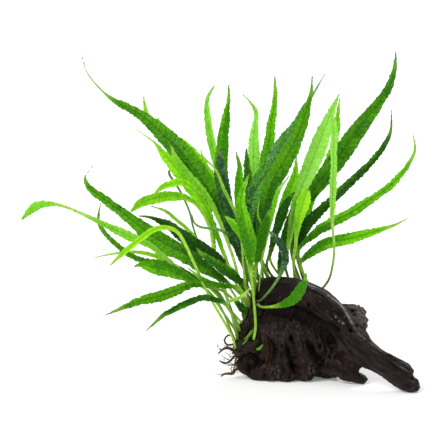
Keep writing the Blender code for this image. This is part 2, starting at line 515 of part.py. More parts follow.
def strand(spec, stem, branch):
    """Stations of one frond: x, y, sighted height, width, and the share of its length."""
    feet = stem if spec["foot"] == "stem" else branch
    place_on = spec["at"] * (len(feet) - 1)
    low = int(place_on)
    high = min(low + 1, len(feet) - 1)
    centre = feet[low] + (feet[high] - feet[low]) * (place_on - low)
    along = feet[high] - feet[max(high - 1, 0)]
    along = along / np.linalg.norm(along)
    radius = (STEM_RADIUS * (1 + STEM_SWELL) if spec["foot"] == "stem" else BRANCH_REACH) + GAP
    first = spec["points"][0]
    mid_y, tip_y = spec["depth"]
    target = standing(first[0], centre[1] + LEAN * (mid_y - centre[1]), first[1])
    out = target - centre
    out = out - along * out.dot(along)
    out = out / np.linalg.norm(out)
    root = centre + out * radius
    foot = (root[0], sighted(root), FOOT_WIDTH)
    knots = [foot] + list(spec["points"]) + [(*spec["tip"], TIP_WIDTH)]
    flat = np.array([(k[0], k[1], 0.0, k[2]) for k in knots], dtype=float)
    lengths = np.linalg.norm(np.diff(flat[:, :2], axis=0), axis=1)
    count = max(12, int(lengths.sum() / STATION_STEP))
    rows = spline(flat, count)
    share = np.linspace(0.0, 1.0, count)
    bow = 4 * share * (1 - share)
    middle = mid_y - (root[1] + tip_y) / 2
    depth = root[1] + (tip_y - root[1]) * share + middle * bow
    turn = np.radians(spec["roll"] + spec["twist"] * (share - 0.5))
    width = np.maximum(rows[:, 3], TIP_WIDTH)
    return {"x": rows[:, 0], "h": rows[:, 1], "y": depth, "w": width, "s": share, "turn": turn,
            "shows": spec["shows"]}


def flatness(width):
    """How far a frond of this width is blade (1) rather than stalk (0)."""
    return np.clip((width - STALK_TO_BLADE[0]) / STALK_TO_BLADE[1], 0, 1)


def settle(strands, blank):
    """Move fronds nearer or farther, station by station, until none passes through another.

    Stations that cross in the sighted outline are pushed apart along y. Which of two fronds lies in
    front is taken once, from their depths where they cross.
    """
    owner = np.concatenate([np.full(len(s["x"]), i) for i, s in enumerate(strands)])
    x = np.concatenate([s["x"] for s in strands])
    h = np.concatenate([s["h"] for s in strands])
    y = np.concatenate([s["y"] for s in strands])
    w = np.concatenate([s["w"] for s in strands])
    turn = np.concatenate([s["turn"] for s in strands])
    free = np.concatenate([np.clip((s["s"] - LOOSEN[0]) * LOOSEN[1], 0, 1) for s in strands])
    blade = flatness(w)
    thick = STALK_THICK + (BLADE_THICK - STALK_THICK) * blade
    deep = thick / 2 + blade * (w / 2) * (np.abs(np.sin(turn)) + FOLD)
    reach = w / 2 + STATION_STEP / 4
    gap_x = x[:, None] - x[None, :]
    gap_h = h[:, None] - h[None, :]
    near = gap_x ** 2 + gap_h ** 2 < (reach[:, None] + reach[None, :] + CLEARANCE) ** 2
    near &= owner[:, None] < owner[None, :]
    a, b = np.nonzero(near)
    pair = owner[a] * len(strands) + owner[b]
    pairs, index = np.unique(pair, return_inverse=True)
    weight = np.minimum(free[a], free[b]) + 0.02
    mean = np.bincount(index, weight * (y[b] - y[a])) / np.bincount(index, weight)
    order = np.where(mean >= 0, 1.0, -1.0)[index]
    need = deep[a] + deep[b] + CLEARANCE
    both_free = np.maximum(free[a] + free[b], 1e-6)
    walls = wood_walls(x, h, y, deep, blank)
    start = y.copy()
    breaks = np.nonzero(np.diff(owner))[0]
    for _ in range(SETTLE_ROUNDS):
        short = np.clip(need - order * (y[b] - y[a]), 0, None)
        push = np.zeros_like(y)
        np.maximum.at(push, b, np.where(order > 0, short * free[b] / both_free, 0))
        np.maximum.at(push, a, np.where(order < 0, short * free[a] / both_free, 0))
        pull = np.zeros_like(y)
        np.maximum.at(pull, a, np.where(order > 0, short * free[a] / both_free, 0))
        np.maximum.at(pull, b, np.where(order < 0, short * free[b] / both_free, 0))
        y = y + 0.5 * (push - pull)
        y = np.where(free > 0, np.clip(y, walls[0], walls[1]), y)
        moved = y - start
        soft = moved.copy()
        soft[1:-1] = (moved[:-2] + 2 * moved[1:-1] + moved[2:]) / 4
        soft[breaks] = moved[breaks]
        soft[breaks + 1] = moved[breaks + 1]
        y = start + np.where(free >= 1, soft, moved)
    first = 0
    for s in strands:
        s["y"] = y[first:first + len(s["x"])]
        first += len(s["x"])


def wood_walls(x, h, y, deep, blank):
    """Lowest and highest y that each station may take without entering the wood."""
    bm = bmesh.new()
    bm.from_mesh(blank)
    tree = BVHTree.FromBMesh(bm)
    sight = Vector((0, math.cos(SIGHT_TILT), -math.sin(SIGHT_TILT)))
    low = np.full(len(x), -BEYOND)
    high = np.full(len(x), BEYOND)
    for i in range(len(x)):
        near = Vector(standing(x[i], -BEYOND, h[i])) * MM
        far = Vector(standing(x[i], BEYOND, h[i])) * MM
        front = tree.ray_cast(near, sight)[0]
        if front is None:
            continue
        back = tree.ray_cast(far, -sight)[0]
        room = deep[i] + WALL_ROOM
        if y[i] < (front.y + back.y) / 2 / MM:
            high[i] = front.y / MM - room
        else:
            low[i] = back.y / MM + room
    bm.free()
    return low, high


def frond_mesh(name, s):
    """Closed skin of one frond: four edges run from the cut foot to the point of the tip."""
    path = np.array([standing(x, y, h) for x, y, h in zip(s["x"], s["y"], s["h"])])
    soft = path.copy()
    soft[1:-1] = (path[:-2] + 2 * path[1:-1] + path[2:]) / 4
    path = soft
    ahead = np.gradient(path, axis=0)
    ahead /= np.linalg.norm(ahead, axis=1)[:, None]
    bend = np.linalg.norm(np.gradient(ahead, axis=0), axis=1)
    steps = np.linalg.norm(np.diff(path, axis=0), axis=1)
    crowd = steps * (1 + BEND_WEIGHT * (bend[1:] + bend[:-1]) / 2)
    along = np.concatenate([[0.0], np.cumsum(crowd)])
    wanted = np.linspace(0.0, along[-1], FROND_RINGS + 1)
    picked = np.interp(wanted, along, np.arange(len(path)))
    rings = []
    for k in picked[:-1]:
        low = int(k)
        high = min(low + 1, len(path) - 1)
        part = k - low
        here = path[low] + (path[high] - path[low]) * part
        facing = ahead[low] + (ahead[high] - ahead[low]) * part
        facing = Vector(facing).normalized()
        width = s["w"][low] + (s["w"][high] - s["w"][low]) * part
        angle = s["turn"][low] + (s["turn"][high] - s["turn"][low]) * part
        angle += math.radians(s["shows"])
        across = facing.cross(Vector((0, -1, 0))).normalized()
        up = across.cross(facing)
        side = across * math.cos(angle) + up * math.sin(angle)
        top = up * math.cos(angle) - across * math.sin(angle)
        blade = float(flatness(width))
        true_width = width / max(STEEPEST, math.cos(s["turn"][low])) if blade > 0 else width
        thick = STALK_THICK + (BLADE_THICK - STALK_THICK) * blade
        thick = min(thick, THIN_EDGE[0] + width * THIN_EDGE[1])
        lift = FOLD * blade * true_width / 2
        middle = Vector(here)
        rings.append([middle - side * true_width / 2 + top * lift,
                      middle + top * thick * (1 - RIB_SHARE),
                      middle + side * true_width / 2 + top * lift,
                      middle - top * thick * RIB_SHARE])
    rings.append([Vector(path[-1])])
    bm = bmesh.new()
    loft(bm, rings, pointed=True)
    bmesh.ops.recalc_face_normals(bm, faces=bm.faces)
    bmesh.ops.triangulate(bm, faces=bm.faces)
    mesh = bpy.data.meshes.new(name)
    bm.to_mesh(mesh)
    bm.free()
    return mesh


def clear_scene():
    """Remove whatever the file held before."""
    for obj in list(bpy.data.objects):
        bpy.data.objects.remove(obj)


def main():
    """Build every piece."""
    clear_scene()
    blank = driftwood()
    stem, branch = stems()
    strands = [strand(spec, stem, branch) for spec in FRONDS.values()]
    settle(strands, blank)
    for (name, spec), made in zip(FRONDS.items(), strands):
        place(name, frond_mesh(name, made), material(name, spec["colour"], LEAF_ROUGHNESS))


main()
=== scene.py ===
"""Java fern on driftwood: the fine surface and the finishes, built around the fixed frame.

Every frond is re-skinned along the four edges of its own frame solid, the wood is one fused and
carved surface, and the creeping stem, roots, rootlets and moss grow on their own solids.
Lengths are metres unless a name says millimetres (mm).
"""

import json
import logging
import math
from dataclasses import dataclass, field
from enum import Enum
from functools import reduce
from itertools import permutations
from typing import Any, Dict, List, Optional, Sequence, Tuple

import bmesh
import bpy
import numpy as np
from mathutils import Matrix, Vector, noise
from mathutils.bvhtree import BVHTree

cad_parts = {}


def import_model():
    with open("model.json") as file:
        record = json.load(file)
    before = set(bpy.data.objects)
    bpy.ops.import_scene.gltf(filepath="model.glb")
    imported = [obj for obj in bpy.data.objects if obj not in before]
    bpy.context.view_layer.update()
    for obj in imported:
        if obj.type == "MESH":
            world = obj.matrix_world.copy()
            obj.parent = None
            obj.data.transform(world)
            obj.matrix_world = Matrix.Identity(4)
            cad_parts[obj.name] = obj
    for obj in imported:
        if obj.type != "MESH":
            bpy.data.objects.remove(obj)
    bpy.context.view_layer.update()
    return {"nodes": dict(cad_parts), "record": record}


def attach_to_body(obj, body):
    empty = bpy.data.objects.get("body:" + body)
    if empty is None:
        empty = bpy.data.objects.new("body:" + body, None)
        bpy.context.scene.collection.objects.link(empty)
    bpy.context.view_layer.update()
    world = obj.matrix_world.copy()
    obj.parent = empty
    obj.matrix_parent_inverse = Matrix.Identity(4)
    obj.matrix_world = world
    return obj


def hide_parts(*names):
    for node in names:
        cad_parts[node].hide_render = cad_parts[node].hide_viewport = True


LOG = logging.getLogger("java_fern")
MM = 0.001
SIGHT_TILT = math.radians(12.0)
Colour = Tuple[float, float, float]
Point = Tuple[float, float, float]
Socket = Any
# Burnt spots and ends of leaves, the pale reflections painted on a wet leaf, and what light gains inside one.
SCORCHED: Colour = (0.050, 0.022, 0.006)
REFLECTION_COLOUR: Colour = (0.38, 0.60, 0.42)
GLOWING: Colour = (1.7, 1.9, 0.8)
# Shaded middle of the clump, in metres.
HEART: Point = (-0.015, 0.0, 0.090)


class Graph:
    """Short way to write a node tree."""

    def __init__(self, tree: bpy.types.NodeTree) -> None:
        """Start on an emptied tree."""
        self.tree = tree
        tree.nodes.clear()

    def add(self, kind: str, settings: Optional[Dict[str, Any]] = None,
            inputs: Optional[Dict[Any, Any]] = None, out: Any = 0) -> Socket:
        """Add a node and return one of its outputs.

        Args:
            kind: Blender's name of the node type.
            settings: properties to set on the node.
            inputs: values or sockets, by input name or index.
            out: name or index of the output wanted.
        Returns:
            The output socket, or the node itself when out is None.
        """
        node = self.tree.nodes.new(kind)
        for key, value in (settings or {}).items():
            setattr(node, key, value)
        for key, value in (inputs or {}).items():
            socket = node.inputs[key]
            if isinstance(value, bpy.types.NodeSocket):
                self.tree.links.new(value, socket)
            elif socket.type == "RGBA":
                socket.default_value = (*value, 1.0)
            else:
                socket.default_value = value
        return node if out is None else node.outputs[out]

    def math(self, operation: str, a: Any, b: Any = 0.5) -> Socket:
        """Math node of two values."""
        return self.add("ShaderNodeMath", {"operation": operation}, {0: a, 1: b})

    def mul(self, *values: Any) -> Socket:
        """Product of two or more values."""
        return reduce(lambda a, b: self.math("MULTIPLY", a, b), values)

    def plus(self, *values: Any) -> Socket:
        """Sum of two or more values."""
        return reduce(lambda a, b: self.math("ADD", a, b), values)

    def minus(self, a: Any, b: Any) -> Socket:
        """Difference of two values."""
        return self.math("SUBTRACT", a, b)

    def weighted(self, *pairs: Tuple[Any, float]) -> Socket:
        """Sum of values, each times its weight."""
        return self.plus(*(self.mul(value, weight) for value, weight in pairs))

    def centred(self, value: Any) -> Socket:
        """Value less one half."""
        return self.minus(value, 0.5)

    def vector(self, operation: str, a: Any, b: Any = (0.0, 0.0, 0.0)) -> Socket:
        """Vector math node of two vectors."""
        return self.add("ShaderNodeVectorMath", {"operation": operation}, {0: a, 1: b})

    def scaled(self, a: Any, factor: Any) -> Socket:
        """Vector times a number."""
        return self.add("ShaderNodeVectorMath", {"operation": "SCALE"}, {0: a, "Scale": factor})

    def blend(self, factor: Any, a: Any, b: Any, mode: str = "MIX") -> Socket:
        """Mix of two colours."""
        settings = {"data_type": "RGBA", "blend_type": mode, "clamp_factor": True}
        return self.add("ShaderNodeMix", settings, {0: factor, 6: a, 7: b}, 2)

    def ramp(self, value: Any, low: float, high: float, to_low: float = 0.0, to_high: float = 1.0) -> Socket:
        """Value mapped smoothly from low..high to to_low..to_high."""
        inputs = {"Value": value, "From Min": low, "From Max": high, "To Min": to_low, "To Max": to_high}
        return self.add("ShaderNodeMapRange", {"interpolation_type": "SMOOTHSTEP"}, inputs)

    def noise(self, vector: Any, scale: float, detail: float = 3.0, roughness: float = 0.55) -> Socket:
        """Fractal noise value."""
        inputs = {"Vector": vector, "Scale": scale, "Detail": detail, "Roughness": roughness}
        return self.add("ShaderNodeTexNoise", {"noise_dimensions": "3D"}, inputs, 0)

    def attribute(self, name: str, out: str = "Fac") -> Socket:
        """Value that the mesh carries under that name, read by a finish."""
        return self.add("ShaderNodeAttribute", {"attribute_name": name}, None, out)

    def named(self, name: str, kind: str = "FLOAT") -> Socket:
        """Value that the mesh carries under that name, read by a geometry tree."""
        return self.add("GeometryNodeInputNamedAttribute", {"data_type": kind}, {"Name": name})

    def coords(self) -> Socket:
        """Place on the object, in metres."""
        return self.add("ShaderNodeTexCoord", None, None, "Object")

    def bump(self, height: Socket, strength: float, distance: float) -> Socket:
        """Normal that shows a height."""
        inputs = {"Strength": strength, "Distance": distance, "Height": height}
        return self.add("ShaderNodeBump", None, inputs)

    def principled(self, colour: Any, roughness: Any, specular: float, **more: Any) -> Socket:
        """Principled shader.

        Args:
            colour: base colour.
            roughness: its roughness.
            specular: its specular level.
            more: further inputs, with _ for each space of their names.
        Returns:
            The shader's socket.
        """
        inputs = {"Base Color": colour, "Roughness": roughness, "Specular IOR Level": specular}
        inputs.update({name.replace("_", " "): value for name, value in more.items()})
        return self.add("ShaderNodeBsdfPrincipled", None, inputs)

    def surface(self, shader: Socket) -> None:
        """End a material in that shader."""
        self.add("ShaderNodeOutputMaterial", None, {"Surface": shader}, None)


def new_material(name: str) -> Tuple[bpy.types.Material, Graph]:
    """Empty node material.

    Args:
        name: the material's name.
    Returns:
        The material and the graph of its tree.
    """
    made = bpy.data.materials.new(name)
    made.use_nodes = True
    return made, Graph(made.node_tree)


class LeafKind(Enum):
    """Finishes a frond can have; the value is the record's slot."""

    LIME = "leaf_lime"
    BRIGHT = "leaf_bright"
    MID = "leaf_mid"
    DEEP = "leaf_deep"
    BLUISH = "leaf_bluish"
    PALE = "leaf_pale"


@dataclass(frozen=True)
class LeafReads:
    """What all parts of a leaf finish read: the frond's own values and three shared noises."""

    side: Socket
    along: Socket
    from_rib: Socket
    across: Socket
    blade: Socket
    tint: Socket
    share: Socket
    under: Socket
    place: Socket
    mottle: Socket
    patches: Socket
    streaks: Socket

    @staticmethod
    def of(g: Graph) -> "LeafReads":
        """Read them in a new material.

        Args:
            g: the material's graph.
        Returns:
            The sockets.
        """
        leaf = g.attribute("leafspace", "Vector")
        split = g.add("ShaderNodeSeparateXYZ", None, {0: leaf}, None)
        tint = g.attribute("tint")
        # Each frond reads its own part of the noises.
        place = g.vector("ADD", leaf, g.add("ShaderNodeCombineXYZ", None, {0: g.mul(tint, 3.1), 2: tint}))
        return LeafReads(
            side=split.outputs[0], along=split.outputs[1],
            from_rib=g.math("ABSOLUTE", split.outputs[0]),
            across=g.math("ABSOLUTE", g.attribute("across")), blade=g.attribute("blade"),
            tint=tint, share=g.attribute("share"), under=g.attribute("under"), place=place,
            mottle=g.noise(place, 260.0, 4.0, 0.65), patches=g.noise(place, 55.0, 2.0),
            streaks=g.noise(g.vector("MULTIPLY", place, (620.0, 40.0, 90.0)), 1.0, 3.0))


@dataclass(frozen=True)
class LeafFinish:
    """Colours and gloss of one kind of frond."""

    kind: LeafKind
    light: Colour
    dark: Colour
    under: Colour
    rib: Colour
    stalk: Colour
    roughness: float
    coat: float
    gloss: float
    glow: float
    relief: float
    painted_reflection: float

    @staticmethod
    def tone_and_shade(g: Graph, at: LeafReads) -> Socket:
        """How dark the top of the blade is: mottled, darker at the foot, with painted shade on one half and
        in the clump's middle.

        Args:
            g: the material's graph.
            at: what the finish reads.
        Returns:
            A value from 0 to 1.
        """
        # Painted shade on one half of the blade, as if folded away from the light.
        shaded_half = g.ramp(g.mul(at.side, g.centred(at.tint)), -0.0008, 0.0008)
        # Painted shade, deepest near the clump's middle.
        heart = g.add("ShaderNodeVectorMath", {"operation": "DISTANCE"},
                      {0: g.vector("MULTIPLY", g.coords(), (1.0, 0.0, 1.0)), 1: HEART}, "Value")
        depth = g.weighted((at.mottle, 0.75), (at.patches, 0.70), (at.streaks, 0.30), (shaded_half, 0.26),
                           (g.centred(at.tint), 0.55))
        depth = g.plus(depth, g.ramp(at.share, 0.18, 0.60, 0.08, -0.04),
                       g.ramp(heart, 0.015, 0.085, 0.40, -0.09))
        return g.ramp(depth, 0.62, 1.22)

    @staticmethod
    def side_veins(g: Graph, at: LeafReads) -> Socket:
        """Side veins, which leave the rib at a slant and wander.

        Args:
            g: the material's graph.
            at: what the finish reads.
        Returns:
            A value that is 1 on a vein.
        """
        wander = g.mul(g.noise(at.place, 150.0, 2.0), 0.012)
        slant = g.plus(at.along, wander, g.mul(at.from_rib, -0.8))
        wave = g.math("ABSOLUTE", g.math("SINE", g.mul(slant, 620.0)))
        return g.mul(g.math("POWER", g.minus(1.0, wave), 4.0), at.blade)

    def blade_colour(self, g: Graph, at: LeafReads, veins: Socket) -> Socket:
        """Colour of the blade with its rib, veins, pale edge, painted shade in the crease by the rib, painted
        wet reflections and burnt spots.

        Args:
            g: the material's graph.
            at: what the finish reads.
            veins: where the side veins are.
        Returns:
            The colour.
        """
        bottom = g.blend(g.ramp(at.mottle, 0.3, 0.7), self.under, self.light)
        body = g.blend(at.under, g.blend(self.tone_and_shade(g, at), self.light, self.dark), bottom)
        body = g.blend(g.mul(veins, 0.22), body, self.dark)
        # Pale squiggles painted on the blade as reflections on a wet leaf.
        squiggle = g.math("ABSOLUTE", g.centred(g.noise(at.place, 230.0, 4.0, 0.6)))
        painted_reflection = g.mul(g.ramp(squiggle, 0.0, 0.030, 1.0, 0.0), g.ramp(at.patches, 0.46, 0.60))
        body = g.blend(g.mul(painted_reflection, self.painted_reflection), body, REFLECTION_COLOUR)
        body = g.blend(g.mul(g.ramp(at.across, 0.84, 1.0), 0.30), body, self.under)
        # Painted shade in the crease along the rib.
        crease_shade = g.mul(g.ramp(at.from_rib, 0.0003, 0.0013, 0.45, 0.0), at.blade)
        body = g.blend(crease_shade, body, self.dark)
        rib = g.mul(g.ramp(at.from_rib, 0.00010, 0.00034, 1.0, 0.0), at.blade,
                    g.ramp(at.share, 0.35, 0.95, 0.75, 0.15))
        body = g.blend(rib, body, self.rib)
        spots = g.mul(g.ramp(g.noise(at.place, 520.0, 2.0), 0.66, 0.74), g.ramp(at.patches, 0.5, 0.62), 0.5)
        body = g.blend(spots, body, SCORCHED)
        scorch = g.mul(g.ramp(at.share, 0.975, 1.0), g.ramp(at.patches, 0.42, 0.6), 0.7)
        return g.blend(scorch, body, SCORCHED)

    def stalk_colour(self, g: Graph, at: LeafReads) -> Socket:
        """Colour of the stalk, which browns towards its foot.

        Args:
            g: the material's graph.
            at: what the finish reads.
        Returns:
            The colour.
        """
        browning = g.mul(g.ramp(at.share, 0.0, 0.30, 1.0, 0.0), 0.6,
                         g.ramp(g.plus(at.streaks, at.tint), 0.6, 1.5))
        stalk = g.blend(g.ramp(at.mottle, 0.35, 0.7), self.stalk, self.under)
        return g.blend(browning, stalk, SCORCHED)

    def material(self) -> bpy.types.Material:
        """Build the finish: mottled blade, rib line, side veins, paler underside, olive stalk.

        Returns:
            The finished material.
        """
        made, g = new_material(self.kind.value)
        at = LeafReads.of(g)
        veins = self.side_veins(g, at)
        colour = g.blend(at.blade, self.stalk_colour(g, at), self.blade_colour(g, at, veins))
        # The veins join into a net of raised cells.
        cells = g.add("ShaderNodeTexVoronoi", {"feature": "SMOOTH_F1", "voronoi_dimensions": "3D"},
                      {"Vector": at.place, "Scale": 520.0, "Smoothness": 0.7, "Randomness": 1.0}, 0)
        height = g.plus(g.mul(g.minus(0.0, cells), at.blade), g.mul(veins, -0.45),
                        g.mul(g.noise(at.place, 1000.0, 2.0), 0.25),
                        g.mul(g.noise(at.place, 330.0, 3.0), 1.6))
        bump = g.bump(height, self.relief, 0.0016)
        wet = g.ramp(g.noise(at.place, 120.0, 2.0), 0.35, 0.7, self.roughness - 0.08, self.roughness + 0.14)
        skin = g.principled(colour, wet, self.gloss, Normal=bump, Coat_Weight=self.coat, Coat_Roughness=0.14)
        lit = g.blend(1.0, colour, GLOWING, "MULTIPLY")
        through = g.add("ShaderNodeBsdfTranslucent", None, {"Color": lit, "Normal": bump})
        g.surface(g.add("ShaderNodeMixShader", None, {0: g.mul(at.blade, self.glow), 1: skin, 2: through}))
        return made


# Colours, then roughness, coat, gloss, glow, relief and the strength of the painted wet reflections.
LEAF_FINISHES: Tuple[LeafFinish, ...] = (
    LeafFinish(LeafKind.LIME, (0.39, 0.76, 0.022), (0.15, 0.48, 0.008), (0.42, 0.76, 0.08),
               (0.22, 0.30, 0.02), (0.27, 0.48, 0.040), 0.42, 0.0, 0.04, 0.26, 0.5, 0.05),
    LeafFinish(LeafKind.BRIGHT, (0.195, 0.60, 0.007), (0.048, 0.245, 0.002), (0.28, 0.62, 0.06),
               (0.085, 0.17, 0.006), (0.23, 0.42, 0.030), 0.38, 0.0, 0.05, 0.22, 0.75, 0.12),
    LeafFinish(LeafKind.MID, (0.115, 0.43, 0.005), (0.021, 0.140, 0.0015), (0.18, 0.48, 0.045),
               (0.085, 0.13, 0.006), (0.20, 0.36, 0.026), 0.34, 0.02, 0.06, 0.18, 0.9, 0.16),
    LeafFinish(LeafKind.DEEP, (0.066, 0.28, 0.004), (0.012, 0.088, 0.0012), (0.12, 0.36, 0.025),
               (0.08, 0.06, 0.008), (0.105, 0.185, 0.014), 0.34, 0.02, 0.06, 0.14, 0.9, 0.14),
    LeafFinish(LeafKind.BLUISH, (0.110, 0.40, 0.035), (0.011, 0.075, 0.014), (0.14, 0.40, 0.10),
               (0.12, 0.24, 0.05), (0.13, 0.27, 0.032), 0.20, 0.14, 0.16, 0.12, 1.0, 0.75),
    LeafFinish(LeafKind.PALE, (0.34, 0.70, 0.075), (0.19, 0.53, 0.022), (0.40, 0.74, 0.15),
               (0.26, 0.26, 0.025), (0.29, 0.48, 0.05), 0.40, 0.0, 0.04, 0.28, 0.6, 0.10),
)


@dataclass(frozen=True)
class WoodFinish:
    """Soaked dark wood with a wet skin, painted highlights on its ridges, rim and glints, and painted shade
    in its valleys and hollows.
    """

    dark: Colour = (0.0062, 0.0034, 0.0030)
    warm: Colour = (0.0260, 0.0100, 0.0064)
    grey: Colour = (0.056, 0.040, 0.036)
    pale: Colour = (0.205, 0.158, 0.144)
    # Near-black for dark grain lines, and painted shade in valleys, holes and hollows.
    deep: Colour = (0.0014, 0.0009, 0.0008)
    rust: Colour = (0.055, 0.017, 0.009)
    umber: Colour = (0.014, 0.0082, 0.0068)
    # Pale colour painted on the wet rim and glints as a highlight.
    rim_highlight: Colour = (0.36, 0.36, 0.33)
    # Lighter colour painted on proud ridges as a highlight.
    ridge_highlight: Colour = (0.105, 0.078, 0.072)
    specular: float = 0.15

    def material(self) -> bpy.types.Material:
        """Build the finish from the grain coordinates carried by the wood.

        Returns:
            The finished material.
        """
        made, g = new_material("driftwood")
        grain = g.attribute("grain", "Vector")
        hollow = g.attribute("hollow")
        wet = g.attribute("wet")
        coords = g.coords()
        fibres = g.noise(g.vector("MULTIPLY", grain, (0.055, 0.95, 0.95)), 1.0, 6.0, 0.62)
        bands = g.noise(g.vector("MULTIPLY", grain, (0.020, 0.22, 0.22)), 1.0, 4.0, 0.6)
        patches = g.noise(coords, 42.0, 3.0)
        pores = g.noise(coords, 700.0, 3.0, 0.65)
        warm = g.blend(g.ramp(bands, 0.40, 0.66), self.dark, self.warm)
        warm = g.blend(g.ramp(patches, 0.38, 0.66, 0.0, 0.7), warm, self.umber)
        rust = g.mul(g.ramp(g.noise(coords, 90.0, 3.0), 0.52, 0.68), g.attribute("lower"))
        warm = g.blend(g.mul(rust, 0.6), warm, self.rust)
        body = g.blend(g.mul(g.ramp(fibres, 0.50, 0.72), 0.60), warm, self.grey)
        body = g.blend(g.mul(g.attribute("dry"), 0.85), body,
                       g.blend(g.ramp(pores, 0.36, 0.56), self.umber, self.pale))
        body = g.blend(g.ramp(fibres, 0.48, 0.34, 0.0, 0.9), body, self.deep)
        proud = g.attribute("proud")
        # Painted highlight on proud ridges.
        ridge_highlight = g.mul(g.ramp(proud, 0.4, 2.2), g.ramp(g.noise(coords, 480.0, 2.0), 0.44, 0.60))
        body = g.blend(g.mul(ridge_highlight, 0.75), body, self.ridge_highlight)
        # Painted shade in the carved-in valleys.
        body = g.blend(g.ramp(proud, -0.2, -1.9, 0.0, 0.9), body, self.deep)
        # Painted highlight along the wet rim and glints, broken by noise.
        highlight_breaks = g.ramp(g.noise(coords, 300.0, 3.0), 0.40, 0.56, 0.25, 1.0)
        body = g.blend(g.mul(wet, highlight_breaks), body, self.rim_highlight)
        # Painted shade in holes, pits and hollows.
        body = g.blend(g.mul(hollow, 0.95), body, self.deep)
        bump = g.bump(g.weighted((fibres, 1.2), (pores, 0.45), (bands, 0.9)), 1.0, 0.0018)
        rough = g.plus(g.ramp(patches, 0.35, 0.68, 0.60, 0.36), g.mul(wet, -0.2))
        g.surface(g.principled(body, rough, self.specular, Normal=bump))
        return made


@dataclass(frozen=True)
class FibreFinish:
    """Brown plant fibre: stem bark, roots, rootlets and moss."""

    name: str
    dark: Colour
    light: Colour
    scale: float
    roughness: float
    specular: float = 0.35

    def material(self) -> bpy.types.Material:
        """Build a mottled fibrous finish.

        Returns:
            The finished material.
        """
        made, g = new_material(self.name)
        coords = g.coords()
        fine = g.noise(coords, self.scale, 4.0, 0.6)
        broad = g.noise(coords, self.scale * 0.16, 3.0)
        colour = g.blend(g.ramp(g.weighted((fine, 0.6), (broad, 0.6)), 0.45, 0.78), self.dark, self.light)
        g.surface(g.principled(colour, self.roughness, self.specular, Normal=g.bump(fine, 0.8, 0.0005)))
        return made


def spline_rows(rows: np.ndarray, wanted: np.ndarray) -> np.ndarray:
    """Catmull-Rom interpolation of rows of numbers.

    Args:
        rows: one row per knot.
        wanted: knot numbers, with fractions, to read the curve at.
    Returns:
        One row per wanted value.
    """
    last = len(rows) - 1
    low = np.clip(wanted.astype(int), 0, last - 1)
    t = (wanted - low)[:, None]
    padded = np.vstack([2 * rows[0] - rows[1], rows, 2 * rows[-1] - rows[-2]])
    p0, p1, p2, p3 = padded[low], padded[low + 1], padded[low + 2], padded[low + 3]
    return 0.5 * (2 * p1 + (p2 - p0) * t + (2 * p0 - 5 * p1 + 4 * p2 - p3) * t ** 2
                  + (3 * p1 - p0 - 3 * p2 + p3) * t ** 3)


def smoothed(knots: Any, count: int) -> np.ndarray:
    """Smooth curve through knots, read at that many even steps."""
    rows = np.array(knots, dtype=float)
    return spline_rows(rows, np.linspace(0, len(rows) - 1, count))


def unit_rows(rows: np.ndarray) -> np.ndarray:
    """Rows scaled to length one."""
    return rows / np.linalg.norm(rows, axis=1)[:, None]


def run_lengths(points: np.ndarray) -> np.ndarray:
    """Length of a line from its start to each of its points."""
    return np.concatenate([[0], np.cumsum(np.linalg.norm(np.diff(points, axis=0), axis=1))])


def fade(values: np.ndarray, start: float, span: float) -> np.ndarray:
    """Values mapped from start..start + span to 0..1 and kept within it."""
    return np.clip((values - start) / span, 0, 1)


def ridged(spot: Sequence[float]) -> float:
    """Noise with sharp crests, at most 1."""
    return 1 - abs(noise.noise(spot)) * 2


def merged_copy(node: bpy.types.Object) -> bmesh.types.BMesh:
    """Editable copy of a frame solid with its loose triangles joined.

    Args:
        node: the solid.
    Returns:
        The copy, to be freed by the caller.
    """
    bm = bmesh.new()
    bm.from_mesh(node.data)
    bmesh.ops.remove_doubles(bm, verts=bm.verts, dist=2e-6)
    bm.verts.ensure_lookup_table()
    return bm


def put(name: str, mesh: bpy.types.Mesh) -> bpy.types.Object:
    """Link a mesh to the scene as one named object at the origin.

    Args:
        name: the object's name.
        mesh: its mesh.
    Returns:
        The new object.
    """
    made = bpy.data.objects.new(name, mesh)
    bpy.context.scene.collection.objects.link(made)
    return made


def put_bmesh(name: str, bm: bmesh.types.BMesh) -> bpy.types.Object:
    """Link a bmesh to the scene as one named object, and free it.

    Args:
        name: name of the object and its mesh.
        bm: the bmesh.
    Returns:
        The new object.
    """
    mesh = bpy.data.meshes.new(name)
    bm.to_mesh(mesh)
    bm.free()
    return put(name, mesh)


def store(mesh: bpy.types.Mesh, name: str, values: Any) -> None:
    """Keep a number or a vector for each point of a mesh.

    Args:
        mesh: the mesh.
        name: name of the new attribute.
        values: one number or one row of three for each point.
    """
    numbers = np.asarray(values, dtype=float)
    kind, member = ("FLOAT", "value") if numbers.ndim == 1 else ("FLOAT_VECTOR", "vector")
    mesh.attributes.new(name, kind, "POINT").data.foreach_set(member, numbers.ravel())


def reskin(obj: bpy.types.Object, voxel: float, rounds: int = 0) -> None:
    """Add modifiers that give an object one fused skin.

    Args:
        obj: the object.
        voxel: size of the skin's faces.
        rounds: how many times the skin is smoothed.
    """
    remesh = obj.modifiers.new("fuse", "REMESH")
    remesh.mode = "VOXEL"
    remesh.voxel_size = voxel
    if rounds:
        soften = obj.modifiers.new("soften", "SMOOTH")
        soften.factor = 0.5
        soften.iterations = rounds


def attach(obj: bpy.types.Object, slot: str, *replaced: str) -> bpy.types.Object:
    """Fix a piece to the one body.

    Args:
        obj: the piece.
        slot: its material slot; not used.
        replaced: frame solids that it stands for.
    Returns:
        The same piece.
    """
    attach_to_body(obj, "root")
    if replaced:
        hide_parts(*replaced)
    LOG.info("%s: %d faces", obj.name, len(obj.data.polygons))
    return obj


